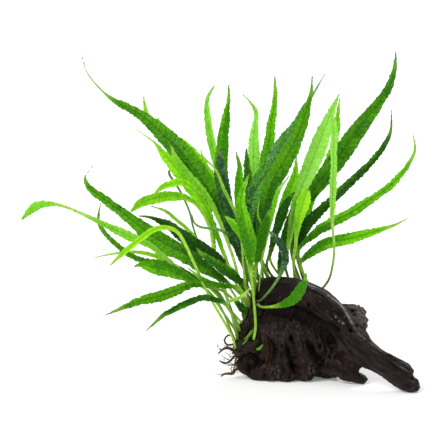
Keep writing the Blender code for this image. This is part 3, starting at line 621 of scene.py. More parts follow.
def baked(obj: bpy.types.Object) -> bpy.types.Object:
    """Turn an object's modifiers into a plain mesh.

    Args:
        obj: the object with live modifiers.
    Returns:
        The same object with a plain mesh.
    """
    bpy.context.view_layer.update()
    graph = bpy.context.evaluated_depsgraph_get()
    mesh = bpy.data.meshes.new_from_object(obj.evaluated_get(graph), preserve_all_data_layers=True,
                                           depsgraph=graph)
    obj.modifiers.clear()
    obj.data = mesh
    mesh.name = obj.name
    return obj


def grown(obj: bpy.types.Object, tree: bpy.types.NodeTree, inputs: Dict[str, Any]) -> bpy.types.Object:
    """Run a Geometry Nodes tree on an object and keep the outcome as its mesh.

    Args:
        obj: the object.
        tree: the tree.
        inputs: its inputs, by their shown names.
    Returns:
        The same object with a plain mesh.
    """
    modifier = obj.modifiers.new(tree.name, "NODES")
    modifier.node_group = tree
    for item in tree.interface.items_tree:
        if item.item_type == "SOCKET" and item.in_out == "INPUT" and item.name in inputs:
            modifier[item.identifier] = inputs[item.name]
    return baked(obj)


def geometry_tree(name: str, inputs: Sequence[Tuple[str, str, Any]]) -> Tuple[bpy.types.NodeTree, Graph, Any]:
    """Start a Geometry Nodes tree with named inputs.

    Args:
        name: the tree's name.
        inputs: name, socket type and default of each input after the geometry.
    Returns:
        The tree, its graph and its group input node.
    """
    tree = bpy.data.node_groups.new(name, "GeometryNodeTree")
    tree.interface.new_socket("Geometry", in_out="INPUT", socket_type="NodeSocketGeometry")
    for label, kind, default in inputs:
        socket = tree.interface.new_socket(label, in_out="INPUT", socket_type=kind)
        if default is not None:
            socket.default_value = default
    tree.interface.new_socket("Geometry", in_out="OUTPUT", socket_type="NodeSocketGeometry")
    g = Graph(tree)
    return tree, g, g.add("NodeGroupInput", None, None, None)


def finish_tree(g: Graph, geometry: Socket, material: Socket) -> None:
    """End a tree in Realize Instances and Set Material.

    Args:
        g: the tree's graph.
        geometry: what the tree has made.
        material: its finish.
    """
    real = g.add("GeometryNodeRealizeInstances", None, {0: geometry})
    dressed = g.add("GeometryNodeSetMaterial", None, {"Geometry": real, "Material": material})
    g.add("NodeGroupOutput", None, {0: dressed}, None)


def ruffle_tree() -> bpy.types.NodeTree:
    """Tree that ruffles a blade: margins wave, edges scallop, the surface dimples.

    Returns:
        The Geometry Nodes tree.
    """
    inputs = (("Ruffle", "NodeSocketFloat", 0.0022), ("Scallop", "NodeSocketFloat", 0.0010),
              ("Dimple", "NodeSocketFloat", 0.0005), ("Seed", "NodeSocketFloat", 0.0),
              ("Material", "NodeSocketMaterial", None))
    tree, g, given = geometry_tree("ruffled_blade", inputs)

    def waves(scale: float, detail: float) -> Socket:
        """Centred noise over the blade's own surface."""
        inputs = {"Vector": leaf, "W": given.outputs["Seed"], "Scale": scale, "Detail": detail}
        return g.centred(g.add("ShaderNodeTexNoise", {"noise_dimensions": "4D"}, inputs, 0))

    leaf, lift, edge = (g.named(name, "FLOAT_VECTOR") for name in ("leafspace", "lift", "edge"))
    across = g.math("ABSOLUTE", g.named("across"))
    blade = g.named("blade")
    ruffle = g.mul(g.math("POWER", across, 1.8), waves(105.0, 1.0), given.outputs["Ruffle"])
    dimple = g.mul(waves(310.0, 2.0), given.outputs["Dimple"])
    up = g.mul(g.plus(ruffle, dimple), blade)
    scallop = g.mul(g.math("POWER", across, 4.0), waves(430.0, 2.0), given.outputs["Scallop"], blade)
    shift = g.vector("ADD", g.scaled(lift, up), g.scaled(edge, scallop))
    moved = g.add("GeometryNodeSetPosition", None, {"Geometry": given.outputs[0], "Offset": shift})
    finish_tree(g, moved, given.outputs["Material"])
    return tree


def fuzz_tree() -> bpy.types.NodeTree:
    """Tree that grows small hairs or scales on a surface.

    Returns:
        The Geometry Nodes tree.
    """
    inputs = (("Sprig", "NodeSocketObject", None), ("Density", "NodeSocketFloat", 200000.0),
              ("Smallest", "NodeSocketFloat", 0.5), ("Largest", "NodeSocketFloat", 1.2),
              ("Tilt", "NodeSocketFloat", 0.6), ("Seed", "NodeSocketInt", 1),
              ("Material", "NodeSocketMaterial", None))
    tree, g, given = geometry_tree("fuzz", inputs)
    dense = g.mul(g.named("fuzz"), given.outputs["Density"])
    points = g.add("GeometryNodeDistributePointsOnFaces", None, {
        "Mesh": given.outputs[0], "Density": dense, "Seed": given.outputs["Seed"]}, None)
    sprig = g.add("GeometryNodeObjectInfo", None, {"Object": given.outputs["Sprig"]}, "Geometry")
    low = g.mul(given.outputs["Tilt"], -1.0)
    high = given.outputs["Tilt"]
    lean_low = g.add("ShaderNodeCombineXYZ", None, {0: low, 1: low, 2: -3.14})
    lean_high = g.add("ShaderNodeCombineXYZ", None, {0: high, 1: high, 2: 3.14})
    lean = g.add("FunctionNodeRandomValue", {"data_type": "FLOAT_VECTOR"},
                 {0: lean_low, 1: lean_high, "Seed": given.outputs["Seed"]}, 0)
    size = g.add("FunctionNodeRandomValue", {"data_type": "FLOAT"},
                 {2: given.outputs["Smallest"], 3: given.outputs["Largest"]}, 1)
    placed = g.add("GeometryNodeInstanceOnPoints", None, {
        "Points": points.outputs["Points"], "Instance": sprig, "Rotation": points.outputs["Rotation"],
        "Scale": size})
    turned = g.add("GeometryNodeRotateInstances", None, {"Instances": placed, "Rotation": lean})
    finish_tree(g, turned, given.outputs["Material"])
    return tree


@dataclass
class Rails:
    """Four edges of a frond solid: left, top, right and bottom, from the foot to the tip."""

    rings: np.ndarray
    tip: np.ndarray

    @staticmethod
    def levels(links: Sequence[Sequence[int]]) -> List[List[int]]:
        """Find the tip of a frond solid and the rings of four corners that follow it.

        Args:
            links: for each corner, the corners it shares an edge with.
        Returns:
            The tip's corner, then the corners of each ring; empty when it isn't such a tube.
        """
        for start in range(len(links)):
            if len(links[start]) != 4:
                continue
            seen = {start}
            levels = [[start]]
            while levels[-1]:
                after = sorted({k for i in levels[-1] for k in links[i]} - seen)
                seen.update(after)
                levels.append(after)
            levels.pop()
            if all(len(level) == 4 for level in levels[1:]) and len(seen) == len(links):
                return levels
        return []

    @staticmethod
    def orders(level: Sequence[int], links: Sequence[Sequence[int]]) -> List[List[int]]:
        """Ways to go round a ring.

        Args:
            level: the ring's four corners.
            links: for each corner, the corners it shares an edge with.
        Returns:
            The corners in each order that may be meant.
        """
        inside = {i: [k for k in links[i] if k in level] for i in level}
        if any(len(near) != 2 for near in inside.values()):
            return [list(order) for order in permutations(level)]
        cycle = [level[0], inside[level[0]][0]]
        while len(cycle) < 4:
            cycle.append(next(k for k in inside[cycle[-1]] if k not in cycle))
        return [[turned[(k + step) % 4] for k in range(4)]
                for turned in (cycle, cycle[::-1]) for step in range(4)]

    @staticmethod
    def of(node: bpy.types.Object) -> "Rails":
        """Read the edges from a frame solid.

        Args:
            node: the frond's solid.
        Returns:
            Its four edges, ordered, with the broader rib side as the bottom.
        """
        bm = merged_copy(node)
        place = np.array([v.co[:] for v in bm.verts])
        links = [[e.other_vert(v).index for e in v.link_edges] for v in bm.verts]
        bm.free()
        levels = Rails.levels(links)
        if not levels:
            raise ValueError(f"{node.name} isn't a tube of four edges that ends in a point")
        rings: List[np.ndarray] = []
        for level in levels[1:]:
            orders = Rails.orders(level, links)
            if not rings:
                rings.append(place[orders[0]])
                continue
            shift = rings[-1].mean(0) - place[level].mean(0)
            gaps = [float(np.abs(place[order] + shift - rings[-1]).sum()) for order in orders]
            rings.append(place[orders[gaps.index(min(gaps))]])
        rails = np.array(rings[::-1])
        wide = np.linalg.norm(rails[:, 0] - rails[:, 2], axis=1).sum()
        tall = np.linalg.norm(rails[:, 1] - rails[:, 3], axis=1).sum()
        if tall > wide:
            rails = np.roll(rails, 1, axis=1)
        chord = (rails[:, 0] + rails[:, 2]) / 2
        above = np.linalg.norm(rails[:, 1] - chord, axis=1).sum()
        below = np.linalg.norm(rails[:, 3] - chord, axis=1).sum()
        if above > below:
            rails = rails[:, [2, 3, 0, 1]]
        return Rails(rails, place[levels[0][0]])


def tube_faces(rows: int, ring: int) -> List[Tuple[int, ...]]:
    """Faces of a closed tube made of rings of points.

    Args:
        rows: number of rings.
        ring: points in each.
    Returns:
        The faces, with a cap at each end.
    """
    faces: List[Tuple[int, ...]] = []
    for i in range(rows - 1):
        for k in range(ring):
            j = (k + 1) % ring
            faces.append((i * ring + k, i * ring + j, (i + 1) * ring + j, (i + 1) * ring + k))
    faces.append(tuple(range(ring - 1, -1, -1)))
    faces.append(tuple((rows - 1) * ring + k for k in range(ring)))
    return faces


@dataclass
class Blade:
    """Fine skin of one frond."""

    name: str
    kind: LeafKind
    tint: float
    seed: float
    columns: int = 12
    blade_step: float = 0.85 * MM
    stalk_step: float = 3.2 * MM
    rib_height: float = 0.28 * MM
    skin: float = 0.14 * MM
    # How strongly the blade is ruffled, and how deep its waves, scallops and dimples are at 1.
    ruffle: float = 1.0
    waves: float = 0.0048
    scallop: float = 0.0040
    dimple: float = 0.0019
    # Half-width in millimetres where the stalk ends, and over how much more it turns into blade.
    stalk_half: float = 1.25
    stalk_fade: float = 1.1
    # Part of the last half-width left at the tip, and where the share of the length counts as tip.
    tip_part: float = 0.22
    tip_start: float = 0.9
    # Shares of the length and the part of the frame's width kept there.
    taper: Tuple[Tuple[float, float], ...] = (
        (0.0, 1.0), (0.3, 1.03), (0.85, 1.03), (0.97, 0.95), (1.0, 0.8))

    def bladed(self, half_width: np.ndarray) -> np.ndarray:
        """How much of each station is blade and not stalk, from 0 to 1."""
        return fade(half_width / MM, self.stalk_half, self.stalk_fade)

    def path(self, rails: Rails) -> Tuple[np.ndarray, np.ndarray, np.ndarray, np.ndarray]:
        """Smooth stations of the blade from its foot to its tip, close together where it is broad.

        Args:
            rails: the four edges of the frond.
        Returns:
            Centre points, half-width vectors, unit face directions, and how far the margins lie
            off the centre line.
        """
        left, top, right, bottom = (rails.rings[:, k] for k in range(4))
        centre = top * 0.6 + bottom * 0.4
        half = (right - left) / 2
        face = unit_rows(top - bottom)
        lift = (left + right) / 2 - centre
        centre = np.vstack([centre, rails.tip])
        half = np.vstack([half, half[-1] * self.tip_part])
        face = np.vstack([face, face[-1]])
        lift = np.vstack([lift, lift[-1] * 0])
        knots = np.column_stack([centre, half, face, lift])
        dense = smoothed(knots, 40 * len(knots))
        blade = self.bladed(np.linalg.norm(dense[:, 3:6], axis=1))
        steps = np.linalg.norm(np.diff(dense[:, :3], axis=0), axis=1)
        near_tip = np.linspace(0, 1, len(dense)) > self.tip_start
        fine = np.where((blade > 0.05) | near_tip, 1 / self.blade_step, 1 / self.stalk_step)
        cost = np.concatenate([[0], np.cumsum(steps * (fine[1:] + fine[:-1]) / 2)])
        rows = max(24, int(cost[-1]))
        at = np.interp(np.linspace(0, cost[-1], rows), cost, np.arange(len(dense)))
        low = np.minimum(at.astype(int), len(dense) - 2)
        part = (at - low)[:, None]
        picked = dense[low] * (1 - part) + dense[low + 1] * part
        return picked[:, :3], picked[:, 3:6], picked[:, 6:9], picked[:, 9:12]

    def build(self, rails: Rails) -> bpy.types.Object:
        """Skin the frond and store what its finish reads.

        Args:
            rails: the four edges of the frond.
        Returns:
            The new object, not yet ruffled.
        """
        centre, half, face, lift = self.path(rails)
        rows = len(centre)
        length = run_lengths(centre)
        share = length / length[-1]
        kept = np.interp(share, *np.array(self.taper).T)
        half = half * kept[:, None]
        lift = lift * kept[:, None]
        width = np.linalg.norm(half, axis=1)
        unit = half / width[:, None]
        face = unit_rows(face - unit * np.sum(face * unit, axis=1)[:, None])
        blade = self.bladed(width)
        blade = np.maximum(blade, np.clip((share - self.tip_start) * 10, 0, 1) * (blade.max() > 0.5))
        points: List[np.ndarray] = []
        kept_values: Dict[str, List[Any]] = {key: [] for key in (
            "across", "blade", "under", "share", "tint", "leafspace", "lift", "edge")}
        ring = 2 * self.columns
        for i in range(rows):
            for k in range(ring):
                top = k <= self.columns
                turn = math.pi * (k if top else ring - k) / self.columns
                u = -math.cos(turn)
                fold = lift[i] * abs(u) ** 1.3
                round_side = math.sqrt(max(0.0, 1 - u * u))
                stalk_height = 0.42 * min(width[i] * 2, 1.9 * MM) * round_side
                ribbed = math.exp(-(u * width[i] / (0.5 * MM)) ** 2)
                ribbed = self.rib_height * (0.25 if top else 1.0) * ribbed
                thin = (self.skin + ribbed) * min(1.0, round_side * 2.2)
                height = stalk_height * (1 - blade[i]) + thin * blade[i]
                sign = 1.0 if top else -1.0
                points.append(centre[i] + half[i] * u + fold + face[i] * height * sign)
                here = (u, blade[i], 0.0 if top else 1.0, share[i], self.tint,
                        (u * width[i], length[i], 0.0), face[i], unit[i] * (1.0 if u > 0 else -1.0))
                for values, value in zip(kept_values.values(), here):
                    values.append(value)
        mesh = bpy.data.meshes.new(self.name)
        mesh.from_pydata([tuple(p) for p in points], [], tube_faces(rows, ring))
        for key, values in kept_values.items():
            store(mesh, key, values)
        mesh.shade_smooth()
        outward(mesh)
        return put(self.name, mesh)

    def dress(self, obj: bpy.types.Object, tree: bpy.types.NodeTree,
              material: bpy.types.Material) -> bpy.types.Object:
        """Ruffle the blade and give it its finish.

        Args:
            obj: the plain skin.
            tree: the ruffling tree.
            material: the frond's finish.
        Returns:
            The finished object.
        """
        grown(obj, tree, {"Ruffle": self.waves * self.ruffle, "Scallop": self.scallop * self.ruffle,
                          "Dimple": self.dimple * self.ruffle, "Seed": self.seed, "Material": material})
        for name in ("lift", "edge"):
            if name in obj.data.attributes:
                obj.data.attributes.remove(obj.data.attributes[name])
        return obj


def outward(mesh: bpy.types.Mesh) -> None:
    """Make every face of a closed mesh point out.

    Args:
        mesh: the mesh.
    """
    bm = bmesh.new()
    bm.from_mesh(mesh)
    bmesh.ops.recalc_face_normals(bm, faces=bm.faces)
    bm.to_mesh(mesh)
    bm.free()


@dataclass
class Fronds:
    """All the fronds, each along its own solid."""

    nodes: Dict[str, bpy.types.Object]
    slots: Dict[str, str]
    materials: Dict[LeafKind, bpy.types.Material]
    ruffled: Dict[str, float] = field(default_factory=lambda: {"frond_left_16": 0.2, "frond_left_01": 0.35})
    tapers: Dict[str, Tuple[Tuple[float, float], ...]] = field(default_factory=lambda: {
        "frond_top_01": ((0, 1), (0.3, 1.08), (0.78, 1.05), (0.82, 0.75), (0.85, 0.42), (1, 0.5)),
        "frond_left_03": ((0, 1), (0.3, 1.0), (0.93, 1.0), (0.95, 0.5), (1, 0.5)),
        "frond_left_16": ((0, 1), (1, 1)),
        "frond_left_01": ((0, 1), (1, 1)),
        "frond_left_02": ((0, 1), (1, 1)),
        "frond_top_02": ((0, 1), (0.3, 1.0), (0.80, 1.0), (0.87, 0.55), (1, 0.4)),
    })
    # How dark a frond is within its finish, from 0 to 1, where it stands out from its neighbours.
    tints: Dict[str, float] = field(default_factory=lambda: {
        "frond_top_14": 0.0, "frond_top_09": 0.95, "frond_left_17": 0.90, "frond_right_05": 0.80,
        "frond_top_01": 0.42, "frond_right_06": 0.20, "frond_right_07": 0.15, "frond_top_15": 0.30})

    def build(self) -> List[bpy.types.Object]:
        """Build, dress and attach every frond.

        Returns:
            The finished fronds.
        """
        tree = ruffle_tree()
        made = []
        names = sorted(name for name in self.nodes if name.startswith("frond_"))
        for order, name in enumerate(names):
            kind = LeafKind(self.slots[name])
            tint = self.tints.get(name, (order * 0.618) % 1.0)
            blade = Blade(name.replace("frond", "blade"), kind, tint, float(order) * 1.7,
                          ruffle=self.ruffled.get(name, 1.0))
            if name in self.tapers:
                blade.taper = self.tapers[name]
            obj = blade.build(Rails.of(self.nodes[name]))
            blade.dress(obj, tree, self.materials[kind])
            made.append(attach(obj, kind.value, name))
        return made


@dataclass
class Leaflets:
    """Tiny leaves and buds that have no solid: x, y, height and width in millimetres."""

    materials: Dict[LeafKind, bpy.types.Material]
    routes: Dict[str, Tuple[LeafKind, Tuple[Tuple[float, float, float, float], ...]]] = field(
        default_factory=lambda: {
            "leaflet_thread": (LeafKind.BRIGHT, (
                (-25, -3, 70, 1.0), (-22, -16, 105, 1.2), (-23, -20, 127, 1.5), (-26, -21, 137, 1.5),
                (-24.5, -21, 149, 0.5))),
            # The two buds take the deep finish, darker than their own pale green, as painted shade.
            "leaflet_bud_low": (LeafKind.DEEP, (
                (-27, -23.5, 27.5, 1.2), (-25.5, -25, 27.4, 2.2), (-23.5, -25.5, 29, 2.2),
                (-21.5, -25, 31.5, 0.5))),
            "leaflet_bud_high": (LeafKind.DEEP, (
                (-36.5, -15, 33, 1.2), (-33.5, -17, 36, 2.2), (-31, -18, 39.5, 2.4), (-29, -18, 42, 0.6))),
            "leaflet_sprout": (LeafKind.DEEP, (
                (-38, -16, 29, 1.0), (-35, -18, 32.5, 1.6), (-33, -18.5, 37, 0.5))),
            "leaflet_side": (LeafKind.MID, (
                (-44, -16, 90, 0.9), (-49, -18, 94, 2.0), (-51.5, -19, 98.5, 0.6))),
        })

    def build(self, tree: bpy.types.NodeTree) -> List[bpy.types.Object]:
        """Build every leaflet as a small blade on its own route.

        Args:
            tree: the ruffling tree.
        Returns:
            The finished leaflets.
        """
        made = []
        for order, (name, (kind, route)) in enumerate(self.routes.items()):
            fine = smoothed(np.array(route) * MM, 14)
            ahead = unit_rows(np.gradient(fine[:, :3], axis=0))
            side = unit_rows(np.cross(ahead, np.array([0.2, -1.0, 0.1])))
            up = np.cross(side, ahead)
            half = side * fine[:, 3:4] / 2
            rings = np.stack([fine[:, :3] - half, fine[:, :3] + up * 0.3 * MM, fine[:, :3] + half,
                              fine[:, :3] - up * 0.4 * MM], axis=1)
            blade = Blade(name, kind, 0.3 + 0.1 * order, 50.0 + order, columns=6, ruffle=0.4)
            obj = blade.build(Rails(rings[:-1], fine[-1, :3]))
            blade.dress(obj, tree, self.materials[kind])
            made.append(attach(obj, kind.value))
        return made


class Surface:
    """Front of a piece as seen along the sight line, a little downwards along +Y."""

    def __init__(self, mesh: bpy.types.Mesh) -> None:
        """Prepare a mesh for sighting.

        Args:
            mesh: a mesh in metres.
        """
        self.tree = BVHTree.FromPolygons([v.co / MM for v in mesh.vertices],
                                         [tuple(p.vertices) for p in mesh.polygons])
        self.sight = Vector((0, math.cos(SIGHT_TILT), -math.sin(SIGHT_TILT)))

    def sighted(self, points: Sequence[Tuple[float, float]], proud: float = 0.0,
                reach: float = 300.0) -> np.ndarray:
        """Points of the surface behind sighted points.

        Args:
            points: x and sighted height of each, in millimetres.
            proud: how far in front of the surface to stay.
            reach: how far in front of the piece sighting starts.
        Returns:
            One point in millimetres for each that meets the surface.
        """
        found = []
        for x, seen in points:
            start = Vector((x, -reach, (seen + reach * math.sin(SIGHT_TILT)) / math.cos(SIGHT_TILT)))
            hit = self.tree.ray_cast(start, self.sight)[0]
            if hit is not None:
                found.append(hit - self.sight * proud)
        return np.array(found)


@dataclass
class Driftwood:
    """The wood: frame solids fused into one skin, then carved with grain, flutes, cracks and holes."""

    nodes: Dict[str, bpy.types.Object]
    material: bpy.types.Material
    voxel: float = 0.63 * MM
    swell: float = 0.25 * MM
    names: Tuple[str, ...] = ("driftwood_body", "driftwood_arm", "driftwood_prong", "driftwood_stub")
    # Lines the grain follows, in millimetres.
    grain_lines: Tuple[Tuple[Tuple[float, float, float], ...], ...] = (
        ((-34, 8, 62), (-20, 5, 68), (0, 2, 67), (19, -3, 60), (33, -12, 50), (48, -25, 37), (63, -37, 25),
         (81, -48, 17), (102, -59, 6)),
        ((-6, -4, 52), (4, -10, 36), (24, -14, 20), (40, -22, 12), (64, -32, 2)),
        ((10, 4, 46), (30, 10, 42), (48, 11, 43), (66, 11, 42)),
        ((-20, -4, 52), (-20, -8, 30), (-22, -12, 0)),
        ((-4, -8, 50), (-4, -12, 30), (-3, -16, 0)),
        ((14, -8, 48), (13, -12, 30), (12, -16, 0)),
        ((2, 12, 50), (4, 16, 25), (5, 16, 0)),
    )
    # Carved lines on the front: x and sighted height in millimetres, then width, and how far out.
    front: Tuple[Tuple[Tuple[Tuple[float, float], ...], float, float], ...] = (
        (((-27, 54), (-14, 54.5), (-2.4, 54.4), (8, 52), (16, 48.2), (28, 41), (36, 32), (41, 25),
          (47, 19)), 2.9, -5.0),
        (((-14, 51), (2, 49.5), (14, 43), (22, 37)), 3.4, -2.6),
        (((24, 38), (30, 30), (36, 23), (43, 16)), 3.8, -7.5),
        (((14, 27), (17, 22), (20, 16), (25, 10.5), (25, 7)), 2.1, -8.0),
        (((-18, 30), (-16, 25), (-14.5, 19), (-15.5, 12)), 4.4, -9.0),
        (((-21, 11.5), (-27, 8.5), (-34, 5)), 2.0, -5.5),
        (((-2, 24), (0, 15), (3, 8), (5, 3)), 2.0, -5.0),
        (((4, 8), (5.5, 3.5)), 2.4, -3.6),
        (((-6, 5), (-3.5, 2)), 2.0, -3.0),
        (((10, 62), (24, 54), (38, 43), (52, 29), (66, 18), (80, 8)), 0.9, -1.4),
        (((0, 60), (14, 56), (26, 49), (38, 37), (50, 26), (62, 17)), 0.8, -1.2),
        (((12, 70), (24, 65), (34, 55), (46, 42), (58, 30)), 1.0, -2.0),
        (((60, 25), (72, 17), (84, 8), (92, 2)), 0.8, -1.0),
        (((52, 22), (64, 12), (76, 4)), 0.8, -1.0),
        (((-20, 66), (-4, 66), (10, 62)), 0.8, -0.6),
        (((-16, 72), (2, 72.5), (14, 68)), 0.7, -0.5),
        (((33, 42), (37, 37)), 2.0, -3.5),
        (((45, 41), (49, 37.5)), 1.8, -3.5),
        (((38, 53), (41, 49)), 1.5, -2.6),
        (((8, 76), (17, 71.8), (25.4, 68), (31.7, 63.2), (39, 57.2), (44.2, 51.2), (48.4, 43.6), (52.6, 36.4),
          (58.9, 30), (65.1, 23.3)), 1.0, 1.1),
        (((-26, 57.5), (-10, 59), (4, 57.5), (14, 53.5), (24, 47.5), (32, 40), (40, 33)), 1.7, 1.6),
        (((-27, 51), (-22, 43), (-15, 31), (-10, 20), (-12, 13)), 2.6, 2.4),
        (((-4, 33), (4, 22), (10, 15), (19, 10), (20, 5)), 3.2, 2.4),
        (((19, 28), (28, 20), (40, 11), (50, 7)), 3.0, 1.3),
        (((30, 50), (42, 40), (56, 28), (70, 17)), 1.5, 1.0))
    # Carved lines elsewhere: x, y and height in millimetres, then width, and how far out.
    around: Tuple[Tuple[Tuple[Tuple[float, float, float], ...], float, float], ...] = (
        (((101, -68, 11), (97, -58, 12.5), (101, -48, 13)), 2.4, -4.5),
        (((98, -64, 4), (99, -54, 4)), 2.4, 2.0),
        (((58, -33, 9), (56, -24, 10)), 2.2, -2.6),
        (((62, 2, 47), (64, 14, 46)), 1.8, -2.8),
        (((63, 3, 37), (64, 14, 38)), 1.6, -2.4),
        (((30, 24, 30), (10, 32, 26), (-10, 24, 30)), 2.8, -3.4),
        (((-18, 18, 40), (-20, 14, 22), (-16, 16, 5)), 2.4, -3.0),
        (((0, 30, 46), (14, 33, 24), (16, 30, 6)), 2.6, -3.2),
        (((-28, 6, 56), (-12, 22, 54), (10, 22, 52), (30, 14, 42)), 2.6, -3.4),
        (((24, 30, 36), (30, 26, 18), (28, 22, 5)), 2.4, -3.0),
        (((-8, 30, 30), (-4, 32, 16), (-5, 30, 4)), 3.0, 2.2),
        (((8, 34, 30), (8, 35, 14), (6, 33, 4)), 3.0, 2.2))
    # The wet rim, in sighted millimetres; it is carved less, less rough, and gets a painted highlight.
    rim_highlight: Tuple[Tuple[float, float], ...] = (
        (14, 73), (17, 71.8), (25.4, 68), (31.7, 63.2), (39, 57.2), (44.2, 51.2), (48.4, 43.6),
        (52.6, 36.4), (58.9, 30))
    # Wet glints, which are less rough and get a painted highlight: x, sighted height and radius in
    # millimetres.
    glints: Tuple[Tuple[float, float, float], ...] = (
        (16, 65.7, 0.8), (8, 62, 0.7), (14, 56.7, 0.8), (34.8, 54, 1.3), (36.4, 48, 1.4), (42, 42.4, 1.6),
        (44, 47.8, 1.3), (46.3, 40, 1.2), (30, 52, 0.7), (24, 60, 0.7), (39, 44, 0.9), (33, 46, 0.7),
        (-8, 63, 0.5))
    # Worm holes: x and sighted height on the front, radius, depth, all in millimetres.
    holes: Tuple[Tuple[float, float, float, float], ...] = (
        (1, 45.5, 1.5, 4.0), (1, 30.5, 1.8, 4.2), (14.5, 57, 1.3, 3.5), (37.5, 37, 1.9, 4.5),
        (48, 37.5, 1.6, 4.5), (24, 24, 1.4, 3.0), (46, 46, 1.2, 3.0), (-6.5, 24, 1.2, 2.5),
        (53, 40.5, 1.3, 3.5), (34, 52, 1.0, 2.4), (57, 39, 1.5, 3.4), (-20, 22, 3.2, 5.0),
        (-26, 13, 2.4, 3.5), (32, 15, 1.3, 2.6), (52, 48, 0.9, 2.0))
    # Half the rim's width in millimetres, and how far out a carved line must go in to get painted hollow
    # shade.
    rim_width: float = 0.9
    hollow_from: float = -1.5

    def fused(self) -> bpy.types.Object:
        """Join the frame solids into one closed fine skin.

        Returns:
            The fused object.
        """
        whole = bmesh.new()
        for name in self.names:
            part = merged_copy(self.nodes[name])
            bmesh.ops.recalc_face_normals(part, faces=part.faces)
            for vert in part.verts:
                vert.co += vert.normal * self.swell
            mesh = bpy.data.meshes.new("part")
            part.to_mesh(mesh)
            part.free()
            whole.from_mesh(mesh)
            bpy.data.meshes.remove(mesh)
        obj = put_bmesh("driftwood", whole)
        reskin(obj, self.voxel * 2, 6)
        reskin(obj, self.voxel, 3)
        return baked(obj)

    def grain(self, place: np.ndarray) -> np.ndarray:
        """Grain coordinates of points: along the nearest line, then two across it.

        Args:
            place: points in millimetres.
        Returns:
            One row of three coordinates for each point.
        """
        best = np.full(len(place), 1e9)
        coords = np.zeros((len(place), 3))
        for order, line in enumerate(self.grain_lines):
            fine = smoothed(line, 60)
            steps = run_lengths(fine)
            ahead = unit_rows(np.gradient(fine, axis=0))
            gap = np.linalg.norm(place[:, None, :] - fine[None, :, :], axis=2)
            near = gap.argmin(1)
            dist = gap[np.arange(len(place)), near]
            axis = ahead[near]
            away = place - fine[near]
            along = steps[near] + np.sum(away * axis, axis=1)
            side = unit_rows(np.cross(axis, np.array([0.1, 0.3, 1.0])))
            up = np.cross(side, axis)
            # Each line reads its own part of the noises.
            local = np.column_stack([along + 300 * order, np.sum(away * side, axis=1) + 37 * order,
                                     np.sum(away * up, axis=1)])
            closer = dist < best
            best = np.where(closer, dist, best)
            coords[closer] = local[closer]
        return coords

    @staticmethod
    def stroke(place: np.ndarray, line: Sequence[Sequence[float]], width: float) -> np.ndarray:
        """How strongly a carved line reaches each point.

        Args:
            place: points in millimetres.
            line: the line's knots in millimetres.
            width: how far from the line its reach falls to about a third.
        Returns:
            The reach at each point, from 0 to 1, faded out at the line's ends.
        """
        if len(line) < 2:
            return np.zeros(len(place))
        fine = smoothed(line, 48)
        gap = np.linalg.norm(place[:, None, :] - fine[None, :, :], axis=2)
        near = gap.argmin(1)
        fade = np.sin(np.pi * np.clip(0.08 + 0.84 * near / 47, 0, 1)) ** 0.5
        return np.exp(-(gap.min(1) / width) ** 2) * fade

    def drawn(self, place: np.ndarray, surface: Surface) -> Tuple[np.ndarray, np.ndarray]:
        """Work out the carved lines and the worm holes.

        Args:
            place: points in millimetres.
            surface: the wood's front.
        Returns:
            How far out each point moves, and how much painted hollow shade it gets, from 0 to 1.
        """
        move = np.zeros(len(place))
        hollow = np.zeros(len(place))
        lines = [(surface.sighted(line), width, out) for line, width, out in self.front]
        for line, width, out in (*lines, *self.around):
            reach = self.stroke(place, line, width)
            move += reach * out
            # Deep carved lines get painted hollow shade.
            if out < self.hollow_from:
                hollow = np.maximum(hollow, reach * min(1.0, 0.7 - 0.04 * out))
        for x, seen, radius, depth in self.holes:
            away = place - surface.sighted(((x, seen),))[0]
            gap = np.linalg.norm(away * np.array([1.0, 1.0, 0.8]), axis=1)
            reach = np.exp(-(gap / radius) ** 4)
            move -= reach * depth
            # Worm holes get painted hollow shade.
            hollow = np.maximum(hollow, reach)
        return move, hollow

    def wet_and_highlight(self, place: np.ndarray, surface: Surface) -> np.ndarray:
        """Work out the wet rim and glints, which also carry the painted highlight.

        Args:
            place: points in millimetres.
            surface: the wood's front.
        Returns:
            How wet each point is, from 0 to 1, which also sets the painted highlight.
        """
        wet = self.stroke(place, surface.sighted(self.rim_highlight), self.rim_width)
        for x, seen, radius in self.glints:
            gap = np.linalg.norm(place - surface.sighted(((x, seen),))[0], axis=1)
            wet = np.maximum(wet, 0.5 * np.exp(-(gap / (0.75 * radius)) ** 4))
        return wet

    @staticmethod
    def knotted(x: float, y: float, z: float) -> Tuple[float, float]:
        """Knobs and pits of the rough parts.

        Args:
            x, y, z: the place in millimetres.
        Returns:
            Height of the knobs and depth of the pits, both at most 1.
        """
        cell = noise.voronoi((x / 3.6, y / 3.6, z / 4.6))[0][0]
        patch = max(0.0, min(1.0, 0.6 + 2.5 * noise.noise((x / 11, y / 11, z / 11))))
        return ridged((x / 6.0 + 9, y / 6.0, z / 10)), max(0.0, 0.42 - cell) / 0.42 * patch

    def carve(self, obj: bpy.types.Object) -> None:
        """Move the skin's points to carve the wood, and store what its finish reads.

        Args:
            obj: the fused skin.
        """
        mesh = obj.data
        count = len(mesh.vertices)
        flat = np.empty((2, count * 3))
        mesh.vertices.foreach_get("co", flat[0])
        mesh.vertices.foreach_get("normal", flat[1])
        place = flat[0].reshape(-1, 3) / MM
        normals = flat[1].reshape(-1, 3)
        coords = self.grain(place)
        surface = Surface(mesh)
        move, hollow = self.drawn(place, surface)
        wet = self.wet_and_highlight(place, surface)
        proud = np.zeros(count)
